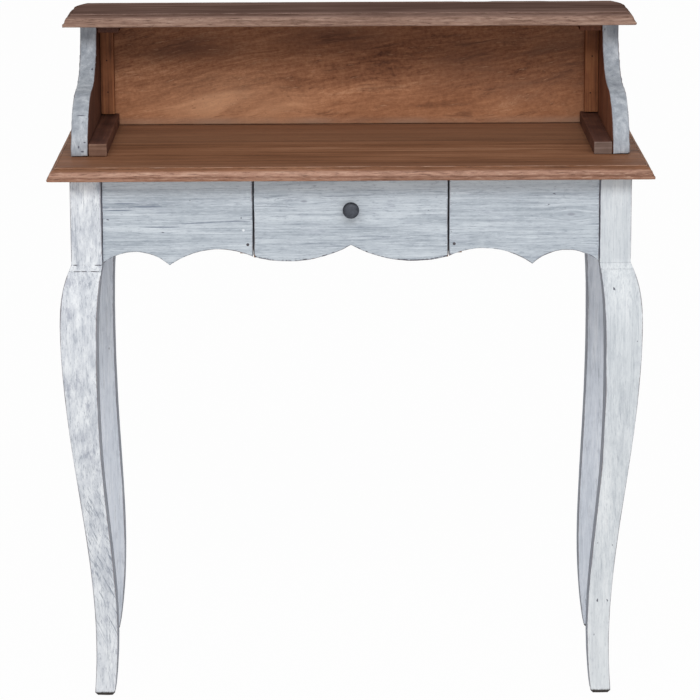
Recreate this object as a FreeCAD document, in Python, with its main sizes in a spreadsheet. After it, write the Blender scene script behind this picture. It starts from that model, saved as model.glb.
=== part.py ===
import FreeCAD, Part
import os
import types

import Sketcher

# Bonheur du jour: a small writing desk on four sawn cabriole legs, with one drawer in a scalloped
# front and a low gallery with a shelf at the back of its top.
# Millimetres. +Z is up, the front looks along -Y, and the origin is on the floor under the middle
# of the desktop.

SIZES = {
    # Whole desk
    "desk_width": 800,
    "desk_depth": 400,
    "desktop_thickness": 18,
    "leg_height": 722,
    # Moulded edge of the desktop and the shelf, from its nose at the bottom to the step at the top
    "nose_round": 1.2,
    "lip_height": 5.5,
    "quirk_width": 1.4,
    "ovolo_run": 7.5,
    "step_height": 2.2,
    # Legs: how far the tops stand in from the desktop's edge, then the sawn curve. "out" and "in"
    # are measured from the block's outer face, "inner" ones from its inner face
    "side_overhang": 28,
    "front_overhang": 28,
    "rear_overhang": 18,
    "block_size": 42,
    "block_height": 116,
    "shoulder_drop": 26,
    "shoulder_out": 9.7,
    "shoulder_inner_out": 3.8,
    "knee_drop": 96,
    "knee_out": 15.9,
    "knee_inner_drop": 121,
    "knee_inner_out": 8.9,
    "shin_height": 303,
    "shin_in": 1.6,
    "shin_inner_out": 4.4,
    "ankle_height": 98,
    # The rear feet stand farther out than the front ones
    "front_ankle_in": 20.8,
    "front_ankle_width": 30.7,
    "front_ankle_inner_height": 110,
    "front_foot_in": 18.2,
    "front_foot_width": 28.1,
    "rear_ankle_in": 14.4,
    "rear_ankle_width": 30,
    "rear_ankle_inner_height": 150,
    "rear_foot_in": 8,
    "rear_foot_width": 25.9,
    "foot_chamfer": 4,
    "foot_chamfer_height": 5,
    # Aprons: drops are measured down from the underside of the desktop
    "apron_thickness": 20,
    "apron_setback": 4,
    "cusp_from_leg": 89,
    "cusp_drop": 118.5,
    "leg_arch_drop": 100,
    "seam_arch_drop": 97.5,
    "seam_drop": 107.5,
    "back_apron_height": 110,
    "tenon_thickness": 8,
    "tenon_length": 16,
    "tenon_shoulder": 14,
    "mortise_gap": 1,
    # Drawer
    "drawer_opening": 260,
    "drawer_gap": 1.2,
    "drawer_top_gap": 1.5,
    "lobe_from_middle": 75,
    "lobe_drop": 113.5,
    "notch_drop": 92,
    "drawer_rear_gap": 28,
    "drawer_side_thickness": 12,
    "drawer_side_gap": 1.5,
    "drawer_side_top_gap": 2.5,
    "drawer_rabbet": 6,
    "drawer_back_thickness": 12,
    "drawer_back_inset": 6,
    "drawer_bottom_thickness": 6,
    "drawer_bottom_lift": 7,
    "drawer_groove": 6,
    "groove_gap": 0.5,
    # What guides and carries the drawer
    "partition_thickness": 18,
    "partition_height": 106,
    "partition_housing": 5,
    "runner_width": 16,
    "runner_height": 31,
    "runner_drop": 81,
    "runner_front_gap": 2,
    "running_gap": 0.3,
    "stop_length": 12,
    "stop_height": 20,
    # Knob
    "knob_drop": 42,
    "knob_radius": 11,
    "knob_projection": 20,
    "knob_base_radius": 7,
    "knob_base_thickness": 2,
    "knob_neck_radius": 4.5,
    "knob_neck_length": 6,
    "knob_bore_depth": 12,
    "knob_screw_bite": 10,
    # Gallery: depths are measured forward from its back
    "gallery_inset": 25,
    "gallery_height": 154,
    "gallery_rear_inset": 6,
    "gallery_side_thickness": 24,
    "gallery_foot_depth": 295,
    "gallery_top_depth": 87,
    "ogee_depth": 194,
    "ogee_height": 77,
    "gallery_back_thickness": 16,
    "shelf_overhang": 20,
    "shelf_depth": 140,
    "shelf_thickness": 18,
    "shelf_corner_width": 16,
    "shelf_corner_depth": 50,
    "shelf_corner_bulge": 3,
    "floor_cleat_width": 24.5,
    "floor_cleat_height": 17,
    "floor_cleat_setback": 3,
    "corner_batten_width": 19,
    "corner_batten_depth": 20,
    "corner_batten_foot_gap": 1.5,
    "shelf_cleat_width": 30,
    "shelf_cleat_height": 14,
    "shelf_cleat_setback": 4,
    # Fixings
    "fixing_block_length": 50,
    "fixing_block_size": 22,
    "fixing_block_spread": 75,
    "screw_radius": 2,
    "screw_head_radius": 4,
    "screw_head_height": 2.4,
    "screw_clearance": 0.2,
    "desktop_screw_bite": 10,
    "gallery_screw_bite": 11,
    "gallery_screw_gap": 18,
    "shelf_screw_bite": 11,
    "shelf_screw_spread": 12,
    "nail_radius": 1,
    "nail_head_radius": 2,
    "nail_head_height": 1,
    "nail_length": 34,
    "nail_inset": 7,
    "nail_top_drop": 22,
    "nail_bottom_drop": 90,
}
RIGHT = 1
LEFT = -1
# Where a quarter ellipse passes on the diagonal, as a share of its half axes
DIAGONAL = 0.7071
# How long a Bezier handle is, as a share of the half axis, for a quarter ellipse
QUARTER_HANDLE = 0.5523

doc = FreeCAD.newDocument("BonheurDuJour")
sheet = doc.addObject("Spreadsheet::Sheet", "Sizes")
for row, (alias, number) in enumerate(SIZES.items(), start=1):
    sheet.set("A%d" % row, str(number))
    sheet.setAlias("A%d" % row, alias)
doc.recompute()


class Size:
    """A length worked out from the sheet: its expression, and the number that it has now."""

    def __init__(self, text, number):
        self.text = text
        self.number = float(number)

    def combine(self, sign, other, number):
        return Size("(%s %s %s)" % (self.text, sign, other.text), number)

    def __add__(self, other):
        other = as_size(other)
        return self.combine("+", other, self.number + other.number)

    def __sub__(self, other):
        other = as_size(other)
        return self.combine("-", other, self.number - other.number)

    def __mul__(self, other):
        other = as_size(other)
        return self.combine("*", other, self.number * other.number)

    def __truediv__(self, other):
        other = as_size(other)
        return self.combine("/", other, self.number / other.number)

    def __neg__(self):
        return self * -1


def as_size(value):
    if isinstance(value, Size):
        return value
    return Size("(%g)" % value, value)


def middle(low, high):
    return (low + high) / 2


ZERO = as_size(0)
size = types.SimpleNamespace()
for alias in SIZES:
    setattr(size, alias, Size("Sizes." + alias, sheet.get(alias)))

nodes = []


def node(piece, label):
    """Names a finished piece and keeps it for writing."""
    piece.Label = label
    nodes.append(piece)
    return piece


def box(name, x, y, z):
    """A block between two places along each axis."""
    block = doc.addObject("Part::Box", name)
    for side, axis, (low, high) in (("Length", "x", x), ("Width", "y", y), ("Height", "z", z)):
        block.setExpression(side, (high - low).text)
        block.setExpression("Placement.Base." + axis, low.text)
    return block


def across(hand, near, far):
    """The span between two distances from the middle of the desk, on its right or its left."""
    if hand == RIGHT:
        return near, far
    return -far, -near


def joined(name, pieces):
    fuse = doc.addObject("Part::MultiFuse", name)
    fuse.Shapes = pieces
    return fuse


def cut(name, base, tools):
    result = doc.addObject("Part::Cut", name)
    result.Base = base
    result.Tool = tools[0] if len(tools) == 1 else joined(name + "_cuts", tools)
    return result


def group(name, pieces):
    bundle = doc.addObject("Part::Compound", name)
    bundle.Links = pieces
    return bundle


def fix_point(sketch, curve, end, place):
    """Ties one end of a curve to its place, measured from the sketch's origin."""
    for kind, distance in zip(("DistanceX", "DistanceY"), place):
        tie = Sketcher.Constraint(kind, -1, 1, curve, end, distance.number)
        number = sketch.addConstraint(tie)
        sketch.setExpression("Constraints[%d]" % number, distance.text)


def draw_outline(sketch, outline):
    """Draws a closed outline. A corner is (x, y), and the stretch after it is straight, or an arc
    through (via_x, via_y) where the corner is (x, y, via_x, via_y)."""
    ends = []
    for corner, following in zip(outline, outline[1:] + outline[:1]):
        start = FreeCAD.Vector(corner[0].number, corner[1].number, 0)
        finish = FreeCAD.Vector(following[0].number, following[1].number, 0)
        if len(corner) == 2:
            ends.append((sketch.addGeometry(Part.LineSegment(start, finish)), 1, 2))
            continue
        via = FreeCAD.Vector(corner[2].number, corner[3].number, 0)
        arc = sketch.addGeometry(Part.Arc(start, via, finish))
        forward = sketch.getPoint(arc, 1).isEqual(start, 1e-6)
        ends.append((arc, 1, 2) if forward else (arc, 2, 1))
        passing = sketch.addGeometry(Part.Point(via), True)
        fix_point(sketch, passing, 1, corner[2:])
        sketch.addConstraint(Sketcher.Constraint("PointOnObject", passing, 1, arc))
    for (curve, first, last), (after, after_first, _) in zip(ends, ends[1:] + ends[:1]):
        sketch.addConstraint(Sketcher.Constraint("Coincident", curve, last, after, after_first))
    for (curve, first, _), corner in zip(ends, outline):
        fix_point(sketch, curve, first, corner[:2])


def sketch_on(body, role, outline):
    """A closed sketch on one of the body's own origin planes."""
    sketch = body.newObject("Sketcher::SketchObject", body.Name + "_outline")
    plane = [feature for feature in body.Origin.OriginFeatures if feature.Role == role][0]
    sketch.AttachmentSupport = (plane, [""])
    sketch.MapMode = "FlatFace"
    draw_outline(sketch, outline)
    return sketch


def front_board(name, outline, face, thickness):
    """A board seen from the front: its outline in X and Z, padded from its back to its face."""
    body = doc.addObject("PartDesign::Body", name)
    pad = body.newObject("PartDesign::Pad", name + "_pad")
    pad.Profile = sketch_on(body, "XZ_Plane", outline)
    pad.setExpression("Length", thickness.text)
    body.setExpression("Placement.Base.y", (face + thickness).text)
    return body


def side_board(name, outline, x):
    """A board seen from the side: its outline in Y and Z, padded across the span x."""
    body = doc.addObject("PartDesign::Body", name)
    pad = body.newObject("PartDesign::Pad", name + "_pad")
    pad.Profile = sketch_on(body, "YZ_Plane", outline)
    pad.setExpression("Length", (x[1] - x[0]).text)
    body.setExpression("Placement.Base.x", x[0].text)
    return body


def flat_board(name, outline, z):
    """A board seen from above: its outline in X and Y, padded across the span z."""
    body = doc.addObject("PartDesign::Body", name)
    pad = body.newObject("PartDesign::Pad", name + "_pad")
    pad.Profile = sketch_on(body, "XY_Plane", outline)
    pad.setExpression("Length", (z[1] - z[0]).text)
    body.setExpression("Placement.Base.z", z[0].text)
    return body


def upright_screw(name, x, y, bottom, length, clearance):
    """A countersunk screw driven upwards, or the hole for it where there is a clearance."""
    head = doc.addObject("Part::Cone", name + "_head")
    head.setExpression("Radius1", (size.screw_head_radius + clearance).text)
    head.setExpression("Radius2", (size.screw_radius + clearance).text)
    head.setExpression("Height", size.screw_head_height.text)
    shank = doc.addObject("Part::Cylinder", name + "_shank")
    shank.setExpression("Radius", (size.screw_radius + clearance).text)
    shank.setExpression("Height", (length + clearance).text)
    for piece in (head, shank):
        for axis, place in (("x", x), ("y", y), ("z", bottom)):
            piece.setExpression("Placement.Base." + axis, place.text)
    return joined(name, [head, shank])


def upright_screws(label, places, bottom, length):
    """A group of equal upright screws, and the tools that cut their holes."""
    screws = []
    holes = []
    for number, (x, y) in enumerate(places, start=1):
        name = "%s_%d" % (label, number)
        screws.append(upright_screw(name, x, y, bottom, length, ZERO))
        holes.append(upright_screw(name + "_hole", x, y, bottom, length, size.screw_clearance))
    node(group(label, screws), label)
    return holes


def level_rod(name, radius, x, z, near, far):
    """A round rod lying along Y."""
    rod = doc.addObject("Part::Cylinder", name)
    rod.Placement = FreeCAD.Placement(FreeCAD.Vector(), FreeCAD.Rotation(FreeCAD.Vector(1, 0, 0), -90))
    rod.setExpression("Radius", radius.text)
    rod.setExpression("Height", (far - near).text)
    for axis, place in (("x", x), ("y", near), ("z", z)):
        rod.setExpression("Placement.Base." + axis, place.text)
    return rod


# Places that several pieces share
half_width = size.desk_width / 2
half_depth = size.desk_depth / 2
leg_top = size.leg_height
desktop_top = leg_top + size.desktop_thickness
shelf_bottom = desktop_top + size.gallery_height
block_bottom = leg_top - size.block_height
block_out = half_width - size.side_overhang
block_in = block_out - size.block_size
front_block = -half_depth + size.front_overhang
front_block_back = front_block + size.block_size
rear_block = half_depth - size.rear_overhang
rear_block_front = rear_block - size.block_size
front_face = front_block + size.apron_setback
front_back = front_face + size.apron_thickness
back_face = rear_block - size.apron_setback
back_front = back_face - size.apron_thickness
side_out = block_out - size.apron_setback
side_in = side_out - size.apron_thickness
side_middle = middle(front_block_back, rear_block_front)
seam = size.drawer_opening / 2
tenon_cheek = (size.apron_thickness - size.tenon_thickness) / 2
tenon_top = leg_top - size.tenon_shoulder
gallery_out = half_width - size.gallery_inset
gallery_in = gallery_out - size.gallery_side_thickness
gallery_rear = half_depth - size.gallery_rear_inset
gallery_back_face = gallery_rear - size.gallery_back_thickness
runner_top = leg_top - size.runner_drop
drawer_end = back_front - size.drawer_rear_gap


def moulded_edge(edge, inward, bottom, thickness):
    """The edge moulding from bottom to top, going inward (+1 or -1) from the edge: a rounded
    nose, a quirk, an ovolo and a small step up to the top."""
    nose = edge + size.nose_round * inward
    quirk = nose + size.quirk_width * inward
    ovolo = quirk + size.ovolo_run * inward
    lip = bottom + size.lip_height
    step = bottom + thickness - size.step_height
    ovolo_via_x = ovolo - size.ovolo_run * (inward * DIAGONAL)
    ovolo_via_z = lip + (step - lip) * DIAGONAL
    return [
        (nose, bottom, edge, bottom + size.lip_height / 2),
        (nose, lip),
        (quirk, lip, ovolo_via_x, ovolo_via_z),
        (ovolo, step),
        (ovolo, bottom + thickness),
    ]


def reversed_outline(outline):
    """The same outline run the other way, with each arc kept on its own stretch."""
    turned = []
    for index in range(len(outline) - 1, -1, -1):
        arc = outline[index - 1][2:] if index > 0 else ()
        turned.append(outline[index][:2] + arc)
    return turned


def moulded_top(name, width, front, rear, bottom, thickness):
    """A board moulded along its front and both ends: the two edge profiles meet in a mitre."""
    right_end = moulded_edge(width / 2, -1, bottom, thickness)
    left_end = moulded_edge(-width / 2, 1, bottom, thickness)
    lengthwise = front_board(name + "_ends", right_end + reversed_outline(left_end), front, rear - front)
    front_edge = moulded_edge(front, 1, bottom, thickness)
    top_back = [(rear, bottom + thickness), (rear, bottom)]
    crosswise = side_board(name + "_front", front_edge + top_back, (-width / 2, width / 2))
    board = doc.addObject("Part::MultiCommon", name)
    board.Shapes = [lengthwise, crosswise]
    return board


def leg_outline(pair):
    """The sawn outline of a front or a rear leg as a face in X and Z: the block's outer face is at
    X = 0 and +X is outwards."""
    lower = {name: getattr(size, "%s_%s" % (pair, name)).number for name in (
        "ankle_in", "ankle_width", "ankle_inner_height", "foot_in", "foot_width")}
    inner_ankle = lower["ankle_in"] + lower["ankle_width"]
    inner_foot = lower["foot_in"] + lower["foot_width"]
    top = leg_top.number
    bottom = block_bottom.number
    block = size.block_size.number
    chamfer_top = size.foot_chamfer_height.number
    outer = [
        (0, bottom),
        (size.shoulder_out.number, bottom - size.shoulder_drop.number),
        (size.knee_out.number, bottom - size.knee_drop.number),
        (-size.shin_in.number, size.shin_height.number),
        (-lower["ankle_in"], size.ankle_height.number),
        (-lower["foot_in"], chamfer_top),
    ]
    inner = [
        (-block, bottom),
        (size.shoulder_inner_out.number - block, bottom - size.shoulder_drop.number),
        (size.knee_inner_out.number - block, bottom - size.knee_inner_drop.number),
        (size.shin_inner_out.number - block, size.shin_height.number),
        (-inner_ankle, lower["ankle_inner_height"]),
        (-inner_foot, chamfer_top),
    ]
    outer_points = [FreeCAD.Vector(x, 0, z) for x, z in outer]
    inner_points = [FreeCAD.Vector(x, 0, z) for x, z in inner]
    chamfer = FreeCAD.Vector(size.foot_chamfer.number, 0, -chamfer_top)
    outer_foot = outer_points[-1] + FreeCAD.Vector(-chamfer.x, 0, chamfer.z)
    inner_foot = inner_points[-1] + chamfer
    outer_top = FreeCAD.Vector(0, 0, top)
    inner_top = FreeCAD.Vector(-block, 0, top)
    outer_curve = Part.BSplineCurve()
    outer_curve.interpolate(outer_points)
    inner_curve = Part.BSplineCurve()
    inner_curve.interpolate(inner_points)
    edges = [
        Part.makeLine(outer_top, outer_points[0]),
        outer_curve.toShape(),
        Part.makeLine(outer_points[-1], outer_foot),
        Part.makeLine(outer_foot, inner_foot),
        Part.makeLine(inner_foot, inner_points[-1]),
        inner_curve.toShape(),
        Part.makeLine(inner_points[0], inner_top),
        Part.makeLine(inner_top, outer_top),
    ]
    return Part.Face(Part.Wire(Part.__sortEdges__(edges)))


def leg_blank(pair):
    """A leg sawn to the same outline from the front and from the side."""
    face = leg_outline(pair)
    spread = face.BoundBox
    sawn_front = face.copy()
    sawn_front.translate(FreeCAD.Vector(0, spread.XMin, 0))
    sawn_front = sawn_front.extrude(FreeCAD.Vector(0, spread.XLength, 0))
    sawn_side = face.copy()
    sawn_side.rotate(FreeCAD.Vector(), FreeCAD.Vector(0, 0, 1), 90)
    sawn_side.translate(FreeCAD.Vector(spread.XMin, 0, 0))
    sawn_side = sawn_side.extrude(FreeCAD.Vector(spread.XLength, 0, 0))
    return sawn_front.common(sawn_side)


def leg(label, hand, blank, block_face, mortises):
    """A leg at its corner, with mortises for the two aprons that meet there."""
    shape = blank if hand == RIGHT else blank.mirror(FreeCAD.Vector(), FreeCAD.Vector(1, 0, 0))
    sawn = doc.addObject("Part::Feature", label + "_sawn")
    sawn.Shape = shape
    sawn.Placement = FreeCAD.Placement(
        FreeCAD.Vector(hand * block_out.number, block_face.number, 0), FreeCAD.Rotation())
    node(cut(label + "_cut", sawn, mortises), label)


def apron_tenon(name, x, y, height):
    """A tenon, or its mortise, with a shoulder above and below it on an apron of that height."""
    bottom = leg_top - height + size.tenon_shoulder
    return box(name, x, y, (bottom, tenon_top))


def build_legs():
    rear_blank = leg_blank("rear")
    front_blank = leg_blank("front").mirror(FreeCAD.Vector(), FreeCAD.Vector(0, 1, 0))
    reach = size.tenon_length + size.mortise_gap
    side_x = (side_in + tenon_cheek, side_in + tenon_cheek + size.tenon_thickness)
    front_y = (front_face + tenon_cheek, front_face + tenon_cheek + size.tenon_thickness)
    back_y = (back_front + tenon_cheek, back_front + tenon_cheek + size.tenon_thickness)
    for hand, side in ((LEFT, "left"), (RIGHT, "right")):
        x = across(hand, block_in, block_in + reach)
        side_span = across(hand, side_x[0], side_x[1])
        front_side_y = (front_block_back - reach, front_block_back)
        rear_side_y = (rear_block_front, rear_block_front + reach)
        leg("leg_front_" + side, hand, front_blank, front_block, [
            apron_tenon("mortise_front_" + side, x, front_y, size.block_height),
            apron_tenon("mortise_front_side_" + side, side_span, front_side_y, size.block_height),
        ])
        leg("leg_rear_" + side, hand, rear_blank, rear_block, [
            apron_tenon("mortise_back_" + side, x, back_y, size.back_apron_height),
            apron_tenon("mortise_rear_side_" + side, side_span, rear_side_y, size.block_height),
        ])


def drop(amount):
    """A height given as a drop from the underside of the desktop."""
    return leg_top - amount


def build_front_aprons(nail_holes):
    cusp = block_in - size.cusp_from_leg
    tenon_y = (front_face + tenon_cheek, front_face + tenon_cheek + size.tenon_thickness)
    for hand, side in ((LEFT, "left"), (RIGHT, "right")):
        board = front_board("front_board_" + side, [
            (seam * hand, leg_top),
            (block_in * hand, leg_top),
            (block_in * hand, block_bottom, middle(cusp, block_in) * hand, drop(size.leg_arch_drop)),
            (cusp * hand, drop(size.cusp_drop), middle(seam, cusp) * hand, drop(size.seam_arch_drop)),
            (seam * hand, drop(size.seam_drop)),
        ], front_face, size.apron_thickness)
        tenon_x = across(hand, block_in, block_in + size.tenon_length)
        tenon = apron_tenon("front_tenon_" + side, tenon_x, tenon_y, size.block_height)
        whole = joined("front_tenoned_" + side, [board, tenon])
        node(cut("front_drilled_" + side, whole, nail_holes[hand]), "apron_front_" + side)


def build_side_aprons():
    arch = drop(size.leg_arch_drop)
    for hand, side in ((LEFT, "left"), (RIGHT, "right")):
        board = side_board("side_board_" + side, [
            (front_block_back, leg_top),
            (rear_block_front, leg_top),
            (rear_block_front, block_bottom, middle(side_middle, rear_block_front), arch),
            (side_middle, drop(size.cusp_drop), middle(front_block_back, side_middle), arch),
            (front_block_back, block_bottom),
        ], across(hand, side_in, side_out))
        tenon_x = across(hand, side_in + tenon_cheek, side_in + tenon_cheek + size.tenon_thickness)
        front_y = (front_block_back - size.tenon_length, front_block_back)
        rear_y = (rear_block_front, rear_block_front + size.tenon_length)
        front_tenon = apron_tenon("side_front_tenon_" + side, tenon_x, front_y, size.block_height)
        rear_tenon = apron_tenon("side_rear_tenon_" + side, tenon_x, rear_y, size.block_height)
        node(joined("side_tenoned_" + side, [board, front_tenon, rear_tenon]), "apron_side_" + side)


def build_back_apron():
    board = box("back_board", (-block_in, block_in), (back_front, back_face),
                (drop(size.back_apron_height), leg_top))
    tenon_y = (back_front + tenon_cheek, back_front + tenon_cheek + size.tenon_thickness)
    pieces = [board]
    housings = []
    for hand, side in ((LEFT, "left"), (RIGHT, "right")):
        tenon_x = across(hand, block_in, block_in + size.tenon_length)
        pieces.append(apron_tenon("back_tenon_" + side, tenon_x, tenon_y, size.back_apron_height))
        housings.append(box("back_housing_" + side, across(hand, seam, seam + size.partition_thickness),
                            (back_front, back_front + size.partition_housing),
                            (drop(size.partition_height), leg_top)))
    node(cut("back_housed", joined("back_tenoned", pieces), housings), "apron_back")


def build_nails():
    """Nails through the front aprons into the partitions, and the holes for them by side."""
    nails = []
    holes = {}
    for hand, side in ((LEFT, "left"), (RIGHT, "right")):
        x = (seam + size.nail_inset) * hand
        holes[hand] = []
        for place, height in (("top", size.nail_top_drop), ("bottom", size.nail_bottom_drop)):
            name = "nail_%s_%s" % (side, place)
            for clearance, label in ((ZERO, name), (size.screw_clearance, name + "_hole")):
                head = level_rod(label + "_head", size.nail_head_radius + clearance, x, drop(height),
                                 front_face, front_face + size.nail_head_height)
                shank = level_rod(label + "_shank", size.nail_radius + clearance, x, drop(height),
                                  front_face, front_face + size.nail_length + clearance)
                whole = joined(label, [head, shank])
                if clearance is ZERO:
                    nails.append(whole)
                else:
                    holes[hand].append(whole)
    node(group("nail_group", nails), "apron_nails")
    return holes


def build_drawer_guides(nail_holes):
    stops = []
    for hand, side in ((LEFT, "left"), (RIGHT, "right")):
        board = box("partition_board_" + side, across(hand, seam, seam + size.partition_thickness),
                    (front_back, back_front + size.partition_housing),
                    (drop(size.partition_height), leg_top))
        node(cut("partition_drilled_" + side, board, nail_holes[hand]), "drawer_partition_" + side)
        runner_x = across(hand, seam - size.runner_width, seam)
        runner = box("runner_" + side, runner_x, (front_back + size.runner_front_gap, back_front),
                     (runner_top - size.runner_height, runner_top))
        node(runner, "drawer_runner_" + side)
        stop_y = (drawer_end + size.running_gap, drawer_end + size.running_gap + size.stop_length)
        stops.append(box("stop_" + side, runner_x, stop_y, (runner_top, runner_top + size.stop_height)))
    node(group("stop_pair", stops), "drawer_stops")


def build_drawer():
    half_front = seam - size.drawer_gap
    side_face = seam - size.drawer_side_gap
    side_inside = side_face - size.drawer_side_thickness
    side_z = (runner_top + size.running_gap, leg_top - size.drawer_side_top_gap)
    rabbet_y = (front_back - size.drawer_rabbet, front_back)
    bottom_z = (side_z[0] + size.drawer_bottom_lift,
                side_z[0] + size.drawer_bottom_lift + size.drawer_bottom_thickness)
    back_y = (drawer_end - size.drawer_back_inset - size.drawer_back_thickness,
              drawer_end - size.drawer_back_inset)
    groove_x = side_inside + size.drawer_groove
    knob_z = drop(size.knob_drop)
    hole_radius = size.screw_radius + size.screw_clearance

    front = front_board("drawer_face", [
        (-half_front, leg_top - size.drawer_top_gap),
        (half_front, leg_top - size.drawer_top_gap),
        (half_front, drop(size.seam_drop), size.lobe_from_middle, drop(size.lobe_drop)),
        (ZERO, drop(size.notch_drop), -size.lobe_from_middle, drop(size.lobe_drop)),
        (-half_front, drop(size.seam_drop)),
    ], front_face, size.apron_thickness)
    cuts = [box("drawer_rabbet_" + name, across(hand, side_inside, half_front), rabbet_y, side_z)
            for hand, name in ((LEFT, "left"), (RIGHT, "right"))]
    cuts.append(box("drawer_front_groove", (-side_inside, side_inside),
                    (front_back - size.drawer_groove, front_back), bottom_z))
    cuts.append(level_rod("drawer_knob_hole", hole_radius, ZERO, knob_z, front_face, front_back))
    node(cut("drawer_front_cut", front, cuts), "drawer_front")

    for hand, name in ((LEFT, "left"), (RIGHT, "right")):
        board = box("drawer_board_" + name, across(hand, side_inside, side_face),
                    (rabbet_y[0], drawer_end), side_z)
        groove = box("drawer_groove_" + name, across(hand, side_inside, groove_x),
                     (rabbet_y[0], drawer_end), bottom_z)
        node(cut("drawer_side_cut_" + name, board, [groove]), "drawer_side_" + name)
    node(box("drawer_back_board", (-side_inside, side_inside), back_y, (bottom_z[1], side_z[1])),
         "drawer_back")
    panel_x = groove_x - size.groove_gap
    main_panel = box("drawer_panel", (-panel_x, panel_x), (front_back, back_y[1]), bottom_z)
    front_tongue = box("drawer_tongue", (-side_inside, side_inside),
                       (front_back - size.drawer_groove + size.groove_gap, front_back), bottom_z)
    node(joined("drawer_bottom_panel", [main_panel, front_tongue]), "drawer_bottom")
    build_knob(knob_z, hole_radius)


def build_knob(knob_z, hole_radius):
    """A turned iron knob, and the screw that holds it from inside the drawer."""
    body = doc.addObject("PartDesign::Body", "knob_body")
    turned = body.newObject("PartDesign::Revolution", "knob_turned")
    neck_end = -size.knob_neck_length
    tip = -size.knob_projection
    sketch = sketch_on(body, "XY_Plane", [
        (hole_radius, ZERO),
        (size.knob_base_radius, ZERO),
        (size.knob_base_radius, -size.knob_base_thickness),
        (size.knob_neck_radius, -size.knob_base_thickness),
        (size.knob_neck_radius, neck_end, size.knob_radius, middle(neck_end, tip)),
        (size.knob_neck_radius, tip),
        (ZERO, tip),
        (ZERO, -size.knob_bore_depth),
        (hole_radius, -size.knob_bore_depth),
    ])
    turned.Profile = sketch
    turned.ReferenceAxis = (sketch, ["V_Axis"])
    turned.Angle = 360
    body.setExpression("Placement.Base.y", front_face.text)
    body.setExpression("Placement.Base.z", knob_z.text)
    node(body, "drawer_knob")
    head = level_rod("knob_screw_head", size.screw_head_radius, ZERO, knob_z, front_back,
                     front_back + size.screw_head_height)
    shank = level_rod("knob_screw_shank", size.screw_radius, ZERO, knob_z,
                      front_face - size.knob_screw_bite, front_back)
    node(joined("knob_screw_whole", [head, shank]), "knob_screw")


def build_fixing_blocks():
    """Blocks glued inside the aprons, with screws up into the desktop. Returns the screw holes."""
    half_length = size.fixing_block_length / 2
    bay_middle = middle(seam + size.partition_thickness, block_in)
    block_z = (leg_top - size.fixing_block_size, leg_top)
    spans = []
    for hand in (LEFT, RIGHT):
        side_x = across(hand, side_in - size.fixing_block_size, side_in)
        for toward in (-1, 1):
            y = side_middle + size.fixing_block_spread * toward
            spans.append((side_x, (y - half_length, y + half_length)))
        bay_x = across(hand, bay_middle - half_length, bay_middle + half_length)
        spans.append((bay_x, (front_back, front_back + size.fixing_block_size)))
        spans.append((bay_x, (back_front - size.fixing_block_size, back_front)))
    places = [(middle(x[0], x[1]), middle(y[0], y[1])) for x, y in spans]
    holes = upright_screws("desktop_screws", places, block_z[0],
                           size.fixing_block_size + size.desktop_screw_bite)
    blocks = []
    for number, ((x, y), hole) in enumerate(zip(spans, holes), start=1):
        name = "fixing_block_%d" % number
        blocks.append(cut(name + "_drilled", box(name, x, y, block_z), [hole]))
    node(group("fixing_block_group", blocks), "fixing_blocks")
    return holes


def gallery_side_outline(x):
    """The outline of a gallery side as a face in Y and Z: its front rises in a convex quarter
    ellipse and sweeps back into a hollow one under the shelf."""
    rear = gallery_rear.number
    low = desktop_top.number
    high = shelf_bottom.number
    foot = rear - size.gallery_foot_depth.number
    top = rear - size.gallery_top_depth.number
    turn_y = rear - size.ogee_depth.number
    turn_z = low + size.ogee_height.number
    round_y = (turn_y - foot) * QUARTER_HANDLE
    round_z = (turn_z - low) * QUARTER_HANDLE
    hollow_y = (top - turn_y) * QUARTER_HANDLE
    hollow_z = (high - turn_z) * QUARTER_HANDLE
    bulge = Part.BezierCurve()
    bulge.setPoles([FreeCAD.Vector(x, foot, low), FreeCAD.Vector(x, foot, low + round_z),
                    FreeCAD.Vector(x, turn_y - round_y, turn_z), FreeCAD.Vector(x, turn_y, turn_z)])
    hollow = Part.BezierCurve()
    hollow.setPoles([FreeCAD.Vector(x, turn_y, turn_z), FreeCAD.Vector(x, turn_y + hollow_y, turn_z),
                     FreeCAD.Vector(x, top, high - hollow_z), FreeCAD.Vector(x, top, high)])
    straight = Part.makePolygon([FreeCAD.Vector(x, top, high), FreeCAD.Vector(x, rear, high),
                                 FreeCAD.Vector(x, rear, low), FreeCAD.Vector(x, foot, low)])
    return Part.Face(Part.Wire([bulge.toShape(), hollow.toShape()] + straight.Edges))


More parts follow.
